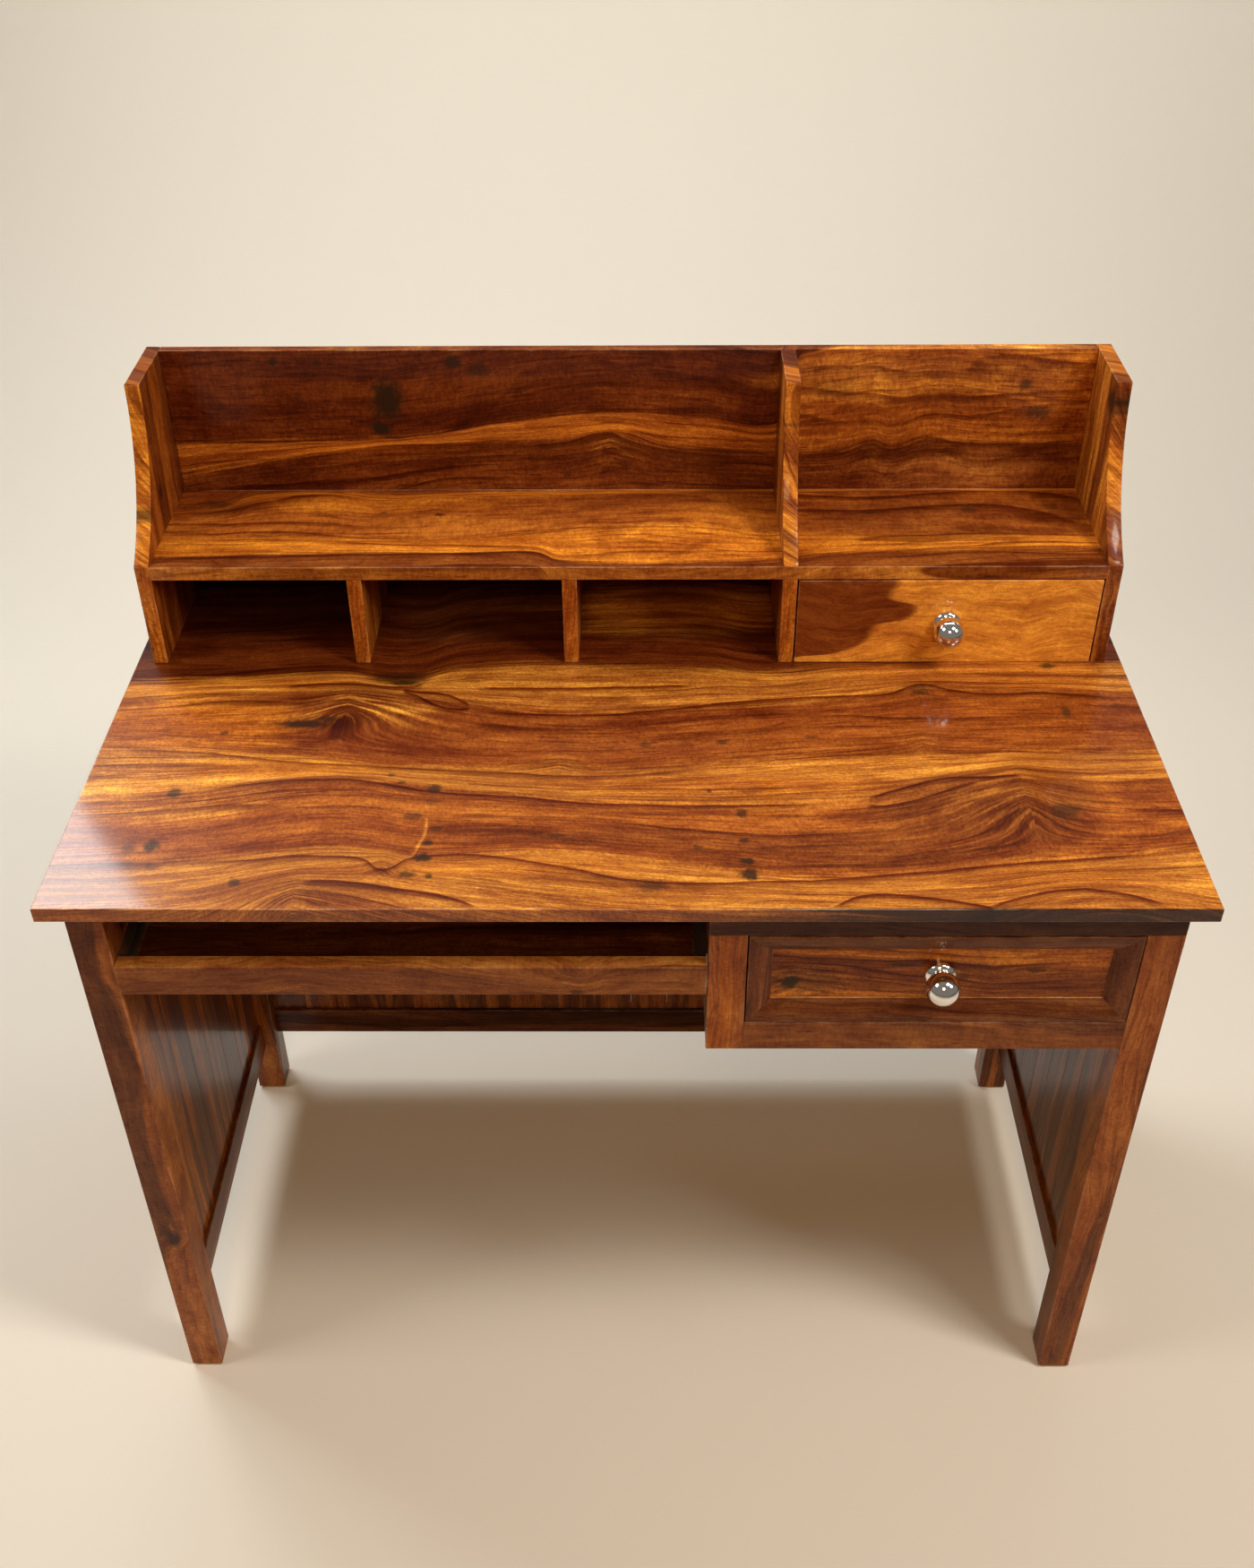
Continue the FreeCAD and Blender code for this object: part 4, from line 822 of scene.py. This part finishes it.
# The bands' edges run from the shelf's front edge to its back.
SHELF_FIGURE = {
    "edges": grown(from_back, SHELF.y, [
        [(0, 157), (0.1, 152), (0.2, 148), (0.35, 145), (0.4, 143), (0.43, 162), (0.5, 168), (0.6, 166),
         (0.67, 158), (0.71, 150), (0.78, 145), (0.88, 137), (1, 134)],
        [(0, 118), (0.2, 118), (0.3, 117), (0.39, 105), (0.49, 90), (0.56, 87), (0.63, 98), (0.66, 104),
         (0.7, 107), (0.88, 107), (1, 112)],
        [(0, 60), (0.06, 50), (0.1, 22), (0.16, 12), (0.24, 30), (0.3, 22), (0.45, 14), (0.6, 10), (0.7, 8),
         (1, 4)],
        [(0, 56), (0.05, 46), (0.09, 12), (0.16, 4), (0.24, 16), (0.3, 12), (0.45, 4), (0.6, 0), (0.7, -2),
         (1, -8)],
    ]),
    "tones": [RUSSET, GOLD, COPPER, GOLD, RED_BROWN],
    "patches": placed(from_back, [
        (870, 70, 190, 60, 0.95, RUSSET), (640, 60, 80, 30, 0.5, GOLD), (50, 45, 60, 20, 0.6, RUSSET),
        # The two pale patches along the shelf's back edge are glue beads, painted pale as a highlight where
        # their lacquer catches light.
        (340, 0, 360, 2.5, 0.8, GLUE_GLINT), (860, 0, 160, 2.5, 0.6, GLUE_GLINT), (230, 34, 150, 24, 0.6, GOLD),
    ]),
    "lines": drawn(from_back, SHELF.y, [
        (4, 1, [(0, 158), (206, 149), (360, 146), (412, 144), (443, 162), (470, 172)]),
        (1.5, 0.625, [(0, 119), (206, 119), (309, 118), (402, 106), (505, 91), (577, 88), (649, 99),
         (700, 106)]),
    ]),
    "reach": (SHELF.x, SHELF.y),
    "show_face": SHELF.z,
    "outer_band": 0.05, "roam": 0.008, "shiver": 0.005, "soft": 0.05, "ragged": 0.35, "outline": 0.8,
    "calm": 0.8,
    "crotches": placed(from_back, [(305, 68, 110, 130, 26, 18, 0.1)]),
    "knots": placed(from_back, [
        (307, 61, 7, 4, 0.85), (243, 56, 6, 3, 0.6), (52, 36, 16, 8, 0.5), (790, 58, 10, 3, 0.6),
        (905, 52, 10, 9, 0.6), (998, 44, 12, 8, 0.4),
    ]),
}

FRONT = size_of("hutch_drawer_front")
# Dark heartwood at the left of the little drawer's front. The share runs up the front.
FRONT_FIGURE = {
    "edges": grown(from_corner, FRONT.x, [
        [(0, 0), (0.06, 2), (0.1, 40), (0.14, 54), (0.28, 80), (0.46, 88), (0.53, 116), (0.63, 129),
         (0.71, 126), (0.77, 103), (0.84, 100), (0.94, 105), (1, 107)],
    ]),
    "tones": [RUSSET, HONEY],
    "reach": (FRONT.z, FRONT.x),
    "outer_band": 0.30, "roam": 0.006, "shiver": 0.010, "soft": 0.02, "ragged": 0.04, "outline": 0.25,
    "crossed": True, "calm": 0.45,
}

INSET_FIGURE = {
    "roam": 0.04, "shiver": 0.008,
    "crotches": placed(from_corner, [(45, 48, 45, 50, 22, 16, 0.5), (240, 50, 60, 60, 24, -12, 0.3)]),
    "knots": placed(from_corner, [
        (43, 45, 12, 10, 0.95), (58, 45, 36, 19, 0.4), (282, 60, 12, 3, 0.7), (68, 58, 12, 6, 0.4),
        (150, 68, 16, 4, 0.5), (210, 52, 10, 5, 0.5),
    ]),
}

LEG = size_of("front_left_leg")
# On the leg and on the rail, both places of an edge are shares.
LEG_FIGURE = {
    "edges": [[(0, 0), (0.26, 0), (0.31, 0.20), (0.35, 0.62), (0.45, 0.60), (0.55, 0.58), (0.65, 0.76),
               (0.75, 0.92), (0.83, 0.90), (0.90, 0.62), (0.95, 0.72), (1, 0.95)]],
    "tones": [WALNUT, WARM_BROWN],
    "reach": (LEG.z, LEG.x),
    "outer_band": 0.06, "roam": 0.004, "shiver": 0.003, "soft": 0.04, "ragged": 0.3, "outline": 0.5,
    "calm": 0.6,
    "crotches": placed(from_corner, [(250, 18, 50, 50, 20, 8, 0.6)]),
    "knots": placed(from_corner, [(246, 20, 16, 8, 0.8), (262, 10, 12, 5, 0.6)]),
}

RAIL = size_of("bay_bottom_rail")
# A dark wedge widens to the right end of the rail under the drawer.
RAIL_FIGURE = {
    "edges": [[(0, 1), (0.58, 1), (0.66, 0.86), (0.80, 0.60), (1, 0.50)]],
    "tones": [OAK_BROWN, WALNUT],
    "reach": (RAIL.x, RAIL.z),
    "outer_band": 0.05, "roam": 0.006, "shiver": 0.003, "soft": 0.05, "ragged": 0.5, "outline": 0.7,
    "calm": 0.6,
}

LIP_FIGURE = {
    "roam": 0.05, "shiver": 0.010, "calm": 0.6,
    "crotches": placed(from_corner, [(450, 20, 60, 40, 30, -22, 0.4), (160, 10, 90, 60, 30, 14, 0.3)]),
    "knots": placed(from_corner, [(445, 4, 8, 5, 0.6)]),
}
STRAIGHT = {"calm": 0.6}

# Painted light and shade on the hutch's upright boards: how light their broad faces and their hollow front
# edges are made, as the lamps light them unevenly.
END_PAINTED_LIGHT = {"hutch_left_end": (0.75, 1.45), "hutch_right_end": (1.2, 1.25),
              "hutch_upper_divider": (1.0, 1.2)}
# Knots that reach the front edges of the hutch's upright boards.
END_KNOTS = {
    "hutch_left_end": placed(from_corner, [(167, 42, 12, 6, 0.8), (166, 91, 9, 7, 0.9)]),
    "hutch_right_end": placed(from_corner, [(266, 98, 16, 16, 0.95), (120, 30, 5, 4, 0.5)]),
    "hutch_upper_divider": placed(from_corner, [(129, 94, 4, 12, 0.9), (36, 22, 9, 10, 0.55)]),
}


def make_boards():
    """Every board with eased edges, each cut from its own stretch of wood."""
    # The front factor gives painted shade on the desktop's front edge and painted light on the shelf's front
    # edge.
    board("desktop", "xyz", seed=4.0, figure=DESK_FIGURE, vein=0.85, coat=0.55, front_shade=0.7, gloss=0.16)
    # The top factor gives painted light on the back panel's top edge.
    board("hutch_back_panel", "xzy", seed=9.5, figure=BACK_FIGURE, vein=0.8, coat=0.2, top_shade=1.9)
    board("hutch_shelf", "xyz", seed=15.2, figure=SHELF_FIGURE, vein=0.9, coat=0.3, front_shade=2.1)
    board("hutch_drawer_front", "zxy", seed=21.4, figure=FRONT_FIGURE, vein=0.12, coat=0.2)
    board("desk_drawer_front", "xzy", seed=28.1, band=0.04, pale=AMBER, dark=RUSSET, vein=0.9,
          figure=INSET_FIGURE)
    for number, node in enumerate(("front_left_leg", "front_right_leg", "rear_left_leg", "rear_right_leg")):
        gold = 0.85 if node == "front_right_leg" else 0.5
        figure = LEG_FIGURE if node == "front_left_leg" else STRAIGHT
        board(node, "zxy", seed=31.0 + number * 3.7, gold=gold, band=0.03, pale=WARM_BROWN, dark=WALNUT,
              figure=figure)
    rails = {"left_lower_rail": "yzx", "right_lower_rail": "yzx", "left_apron": "yzx", "right_apron": "yzx",
             "back_lower_rail": "xzy", "back_apron": "xzy", "bay_bottom_rail": "xzy", "bay_top_rail": "xzy",
             "bay_stile": "zxy", "slide_cleat": "yzx"}
    # The bay's top rail gets dark tones: partly its own wood, partly painted shade from the desktop's
    # overhang above it.
    own_tones = {"bay_stile": (AMBER, WARM_BROWN), "bay_top_rail": (WALNUT, DEEP_BROWN),
                 "back_lower_rail": (WALNUT, DEEP_BROWN)}
    for number, (node, order) in enumerate(rails.items()):
        figure = RAIL_FIGURE if node == "bay_bottom_rail" else STRAIGHT
        pale, dark = own_tones.get(node, (OAK_BROWN, WALNUT))
        board(node, order, seed=52.0 + number * 2.9, band=0.03, pale=pale, dark=dark, figure=figure)
    for number, (node, knots) in enumerate(END_KNOTS.items()):
        board(node, "zyx", shaped=True, seed=83.0 + number * 4.1, pale=AMBER, dark=RUSSET, vein=0.9,
              figure={"knots": knots}, hollow_shades=END_PAINTED_LIGHT[node])
    for number, side in enumerate(("left", "middle", "right")):
        board(f"hutch_{side}_divider", "zyx", seed=97.0 + number * 5.3, gold=0.7, pale=AMBER, dark=RED_BROWN)
    # The tray panel's dark tones are partly painted shade: it lies in the shadow of the desktop above it.
    board("tray_panel", "xyz", seed=114.0, gold=0.25, band=0.06, pale=WALNUT, dark=DEEP_BROWN)
    plain = {"bay_partition": "yzx", "left_runner": "yzx", "right_runner": "yzx",
             "desk_drawer_left_side": "yzx", "desk_drawer_right_side": "yzx", "desk_drawer_back": "xzy",
             "desk_drawer_bottom": "xyz", "hutch_drawer_left_side": "yzx", "hutch_drawer_right_side": "yzx",
             "hutch_drawer_back": "xzy", "hutch_drawer_bottom": "xyz"}
    for number, (node, order) in enumerate(plain.items()):
        board(node, order, offset=0.6 * MM, seed=120.0 + number * 2.3, gold=0.8, band=0.08, pale=RAW_WOOD,
              dark=AMBER, vein=0.35, coat=0.25)


def make_mouldings():
    """The coved mouldings round the drawer and the lip of the tray."""
    for number, side in enumerate(("top", "bottom", "left", "right")):
        node = side + "_moulding"
        order = "xzy" if side in ("top", "bottom") else "zxy"
        # The bottom moulding's top edge gets a painted highlight: a bright line where its bead would catch
        # the light.
        lit_edge = 3.0 if side == "bottom" else 1.0
        dress(node, board_material(node, order, seed=150.0 + number * 3.3, gold=0.3, band=0.02,
                                   pale=OAK_BROWN, dark=WALNUT, top_shade=lit_edge, figure=STRAIGHT))
    # The tray lip's top face gets painted light.
    dress("tray_lip", board_material("tray_lip", "xzy", seed=165.0, gold=0.7, band=0.03, pale=OAK_BROWN,
                                     dark=WALNUT, figure=LIP_FIGURE, top_shade=1.5))


# Metal
def chrome_finish():
    material = bpy.data.materials.new("polished_chrome")
    w, body = shader(material, Metallic=1.0)
    place = w.node("ShaderNodeVectorMath", operation="SCALE")
    w.feed(place.inputs[0], w.place())
    place.inputs["Scale"].default_value = 120
    smudge = w.noise(place.outputs[0], 3.0, 0.6)
    w.feed(body.inputs["Base Color"], w.mix(smudge, (0.82, 0.80, 0.78), (0.92, 0.90, 0.88)))
    w.feed(body.inputs["Roughness"], w.scaled(w.step(smudge, 0.45, 0.75), 0.07, 0.035))
    return material


def zinc_finish(name, tone, scale):
    """Brushed metal. scale is how many brush marks there are to the metre."""
    material = bpy.data.materials.new(name)
    w, body = shader(material, Metallic=1.0)
    x, y, z = w.split(w.place())
    brushed = w.noise(w.join(w.times(x, scale), w.times(y, scale * 0.1), w.times(z, scale)), 3.0, 0.7)
    spangle = w.noise(w.join(w.times(x, 300), w.times(y, 300), w.times(z, 300)))
    dark = [value * 0.72 for value in tone]
    w.feed(body.inputs["Base Color"], w.mix(w.times(spangle, brushed), dark, tone))
    w.feed(body.inputs["Roughness"], w.scaled(brushed, 0.25, 0.22))
    w.feed(body.inputs["Normal"], w.bump(brushed, 0.1, 0.2 * MM))
    return material


def make_metal():
    chrome = chrome_finish()
    zinc = zinc_finish("zinc_plate", (0.62, 0.62, 0.60), 2200)
    steel = zinc_finish("screw_steel", (0.50, 0.49, 0.46), 3000)
    for node in ("desk_drawer_knob", "hutch_drawer_knob"):
        dress(node, chrome)
    for side in ("left", "right"):
        for member in ("outer", "inner", "cage"):
            dress(f"{side}_slide_{member}", zinc)
    for node in ("desk_drawer_knob_screw", "hutch_drawer_knob_screw", "desktop_screws", "hutch_screws"):
        dress(node, steel)


# Panels of upright strips
def strip_tree():
    """Upright strips side by side: named inputs for the sizes, one instance to each strip."""
    tree = bpy.data.node_groups.new("upright_strips", "GeometryNodeTree")
    w = Wiring(tree)
    sockets = {}
    for label, kind in (("Strips", "Int"), ("Strip Width", "Float"), ("Height", "Float"),
                        ("Thickness", "Float"), ("Joint", "Float"), ("Wood", "Material")):
        socket = tree.interface.new_socket(label, in_out="INPUT", socket_type="NodeSocket" + kind)
        sockets[label] = socket.identifier
    tree.interface.new_socket("Geometry", in_out="OUTPUT", socket_type="NodeSocketGeometry")
    given = w.node("NodeGroupInput").outputs
    result = w.node("NodeGroupOutput").inputs
    line = w.node("GeometryNodeMeshLine")
    w.feed(line.inputs["Count"], given["Strips"])
    w.feed(line.inputs["Offset"], w.join(given["Strip Width"], 0.0))
    strip = w.node("GeometryNodeMeshCube")
    width = w.minus(given["Strip Width"], given["Joint"])
    w.feed(strip.inputs["Size"], w.join(width, given["Thickness"], given["Height"]))
    spread = w.node("GeometryNodeInstanceOnPoints")
    w.feed(spread.inputs["Points"], line.outputs[0])
    w.feed(spread.inputs["Instance"], strip.outputs["Mesh"])
    real = w.node("GeometryNodeRealizeInstances")
    w.feed(real.inputs[0], spread.outputs[0])
    wood = w.node("GeometryNodeSetMaterial")
    w.feed(wood.inputs["Geometry"], real.outputs[0])
    w.feed(wood.inputs["Material"], given["Wood"])
    w.feed(result["Geometry"], wood.outputs[0])
    return tree, sockets


def plain_mesh(name, tree, sockets, values):
    """What a geometry tree makes with these inputs, as a plain mesh."""
    carrier = add_object(name + "_carrier", bpy.data.meshes.new(name + "_carrier"))
    modifier = carrier.modifiers.new("made", "NODES")
    modifier.node_group = tree
    for label, value in values.items():
        modifier[sockets[label]] = value
    evaluated = carrier.evaluated_get(bpy.context.evaluated_depsgraph_get())
    data = bpy.data.meshes.new_from_object(evaluated)
    carrier.modifiers.clear()
    bpy.data.objects.remove(carrier)
    return data


def make_panels():
    """The side and back panels, glued up from upright strips."""
    tree, sockets = strip_tree()
    for number, (node, count, axis) in enumerate((("left_panel", 8, 1), ("right_panel", 8, 1),
                                                  ("back_panel", 20, 0))):
        low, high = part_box(node)
        pitch = (high[axis] - low[axis]) / count
        # The left panel's paler tone is partly painted sheen, where its lacquer shines in the light.
        wood = board_material(node, "zyx" if axis else "zxy", seed=180.0 + number * 6.1, band=0.035,
                              pale=AMBER if node == "left_panel" else WARM_BROWN, dark=WALNUT, coat=0.35,
                              strips=("xy"[axis], low[axis], pitch), figure=STRAIGHT)
        data = plain_mesh(node, tree, sockets, {
            "Strips": count, "Strip Width": pitch, "Height": high.z - low.z,
            "Thickness": high[1 - axis] - low[1 - axis], "Joint": 0.3 * MM, "Wood": wood})
        start = (low + high) / 2
        start[axis] = low[axis] + pitch / 2
        turn = Matrix.Rotation(math.pi / 2, 4, "Z") if axis else Matrix()
        data.transform(Matrix.Translation(start) @ turn)
        mesh = bmesh.new()
        mesh.from_mesh(data)
        uprights = [edge for edge in mesh.edges if abs(edge.verts[0].co.z - edge.verts[1].co.z) > pitch]
        ease(mesh, uprights, 0.5 * MM, 2, True)
        bmesh.ops.recalc_face_normals(mesh, faces=mesh.faces)
        finish_piece(node + "_strips", mesh, wood, node)


# Room, lamps and camera
HAZE = (1.0, 0.92, 0.80)
HAZE_STRENGTH = 0.73


def paper_finish():
    """Cream paper. Far from the desk, past what the lamps reach, the camera sees it as pale as the room."""
    material = bpy.data.materials.new("cream_paper")
    w, body = shader(material, Base_Color=(0.85, 0.785, 0.685), Roughness=0.9)
    x, y, z = w.split(w.place())
    aside = w.step(w.math("ABSOLUTE", x), 1.8, 3.2)
    before = w.step(w.times(y, -1.0), 1.5, 3.0)
    above = w.step(z, 0.95, 1.5)
    far = w.most(w.most(aside, before), above)
    seen = w.node("ShaderNodeLightPath").outputs["Is Camera Ray"]
    glow = w.node("ShaderNodeEmission")
    glow.inputs["Color"].default_value = (*HAZE, 1)
    glow.inputs["Strength"].default_value = HAZE_STRENGTH
    both = w.node("ShaderNodeMixShader")
    w.feed(both.inputs["Fac"], w.times(far, seen))
    w.feed(both.inputs[1], body.outputs[0])
    w.feed(both.inputs[2], glow.outputs[0])
    out = next(node for node in w.tree.nodes if node.type == "OUTPUT_MATERIAL")
    w.feed(out.inputs["Surface"], both.outputs[0])
    return material


def make_room():
    """A pale seamless sweep: floor, cove and wall in one sheet."""
    front, back, top = -6.0, 1.5, 1.6
    cove, steps, half_width = 1.1, 24, 7.0
    profile = [(front, 0.0), (back, 0.0)]
    for number in range(1, steps + 1):
        angle = number / steps * math.pi / 2
        profile.append((back + cove * math.sin(angle), cove - cove * math.cos(angle)))
    profile.append((back + cove, top))
    mesh = bmesh.new()
    rows = [[mesh.verts.new((x, y, z)) for x in (-half_width, half_width)] for y, z in profile]
    for near, far in zip(rows, rows[1:]):
        mesh.faces.new((near[0], near[1], far[1], far[0])).smooth = True
    sweep = add_object("paper_sweep", mesh_data("paper_sweep", mesh))
    sweep.data.materials.append(paper_finish())


WARM, MILD, COOL = (1.0, 0.64, 0.32), (1.0, 0.94, 0.85), (0.95, 1.0, 1.02)
# Lamps of the studio: place, what it points at, side of its square, power in watts and colour.
LAMPS = {
    "key_lamp": ((1.2, -0.8, 2.8), (0.0, 0.0, 0.5), 0.5, 28, MILD),
    "right_lamp": ((1.9, -1.0, 2.2), (0.0, 0.0, 0.5), 0.5, 16, MILD),
    "front_lamp": ((0.0, -2.2, 2.6), (0.0, 0.0, 0.5), 0.6, 22, WARM),
    "rear_left_lamp": ((-1.5, 1.3, 2.3), (0.0, 0.0, 0.6), 0.75, 22, COOL),
    "left_lamp": ((-2.0, 0.8, 2.3), (0.0, 0.0, 0.6), 0.5, 12, COOL),
    "far_left_lamp": ((-2.5, -0.8, 3.2), (0.0, 0.0, 0.3), 1.0, 27, MILD),
    "rear_lamp": ((-0.6, 1.0, 3.0), (0.0, 0.3, 0.0), 0.5, 8, COOL),
    "wall_lamp": ((0.5, 0.8, 3.0), (0.6, 3.0, 1.7), 1.5, 26, COOL),
}


def make_lamps():
    for name, (place, target, side, power, colour) in LAMPS.items():
        light = bpy.data.lights.new(name, "AREA")
        light.shape = "SQUARE"
        light.size = side
        light.energy = power
        light.color = colour
        lamp = add_object(name, light)
        lamp.location = place
        lamp.rotation_euler = (Vector(target) - Vector(place)).to_track_quat("-Z", "Y").to_euler()
    world = bpy.data.worlds.new("dim_room")
    bpy.context.scene.world = world
    world.use_nodes = True
    w = Wiring(world.node_tree)
    room = w.node("ShaderNodeBackground")
    room.inputs["Color"].default_value = (*HAZE, 1)
    ray = w.node("ShaderNodeLightPath").outputs
    mirrored = w.scaled(ray["Is Glossy Ray"], 0.18, 0.01)
    w.feed(room.inputs["Strength"], w.scaled(ray["Is Camera Ray"], HAZE_STRENGTH - 0.01, mirrored))
    w.feed(w.node("ShaderNodeOutputWorld").inputs["Surface"], room.outputs[0])


CAMERA_PLACE = (0.01497, -1.41737, 1.77506)
CAMERA_PITCH = 37.74
CAMERA_YAW = -0.64
CAMERA_ROLL = -0.43
FOCAL_PIXELS = 1831.5
PHOTO_HEIGHT = 1750


def make_camera():
    data = bpy.data.cameras.new("camera")
    data.sensor_width = 36
    data.lens = FOCAL_PIXELS / PHOTO_HEIGHT * data.sensor_width
    data.clip_start, data.clip_end = 0.05, 50
    camera = add_object("camera", data)
    camera.location = CAMERA_PLACE
    level = Euler((math.radians(90 - CAMERA_PITCH), 0, math.radians(-CAMERA_YAW))).to_matrix()
    camera.rotation_euler = (level @ Matrix.Rotation(math.radians(CAMERA_ROLL), 3, "Z")).to_euler()
    bpy.context.scene.camera = camera
    bpy.context.scene.view_settings.view_transform = "Standard"


make_boards()
make_mouldings()
make_panels()
make_metal()
make_room()
make_lamps()
make_camera()
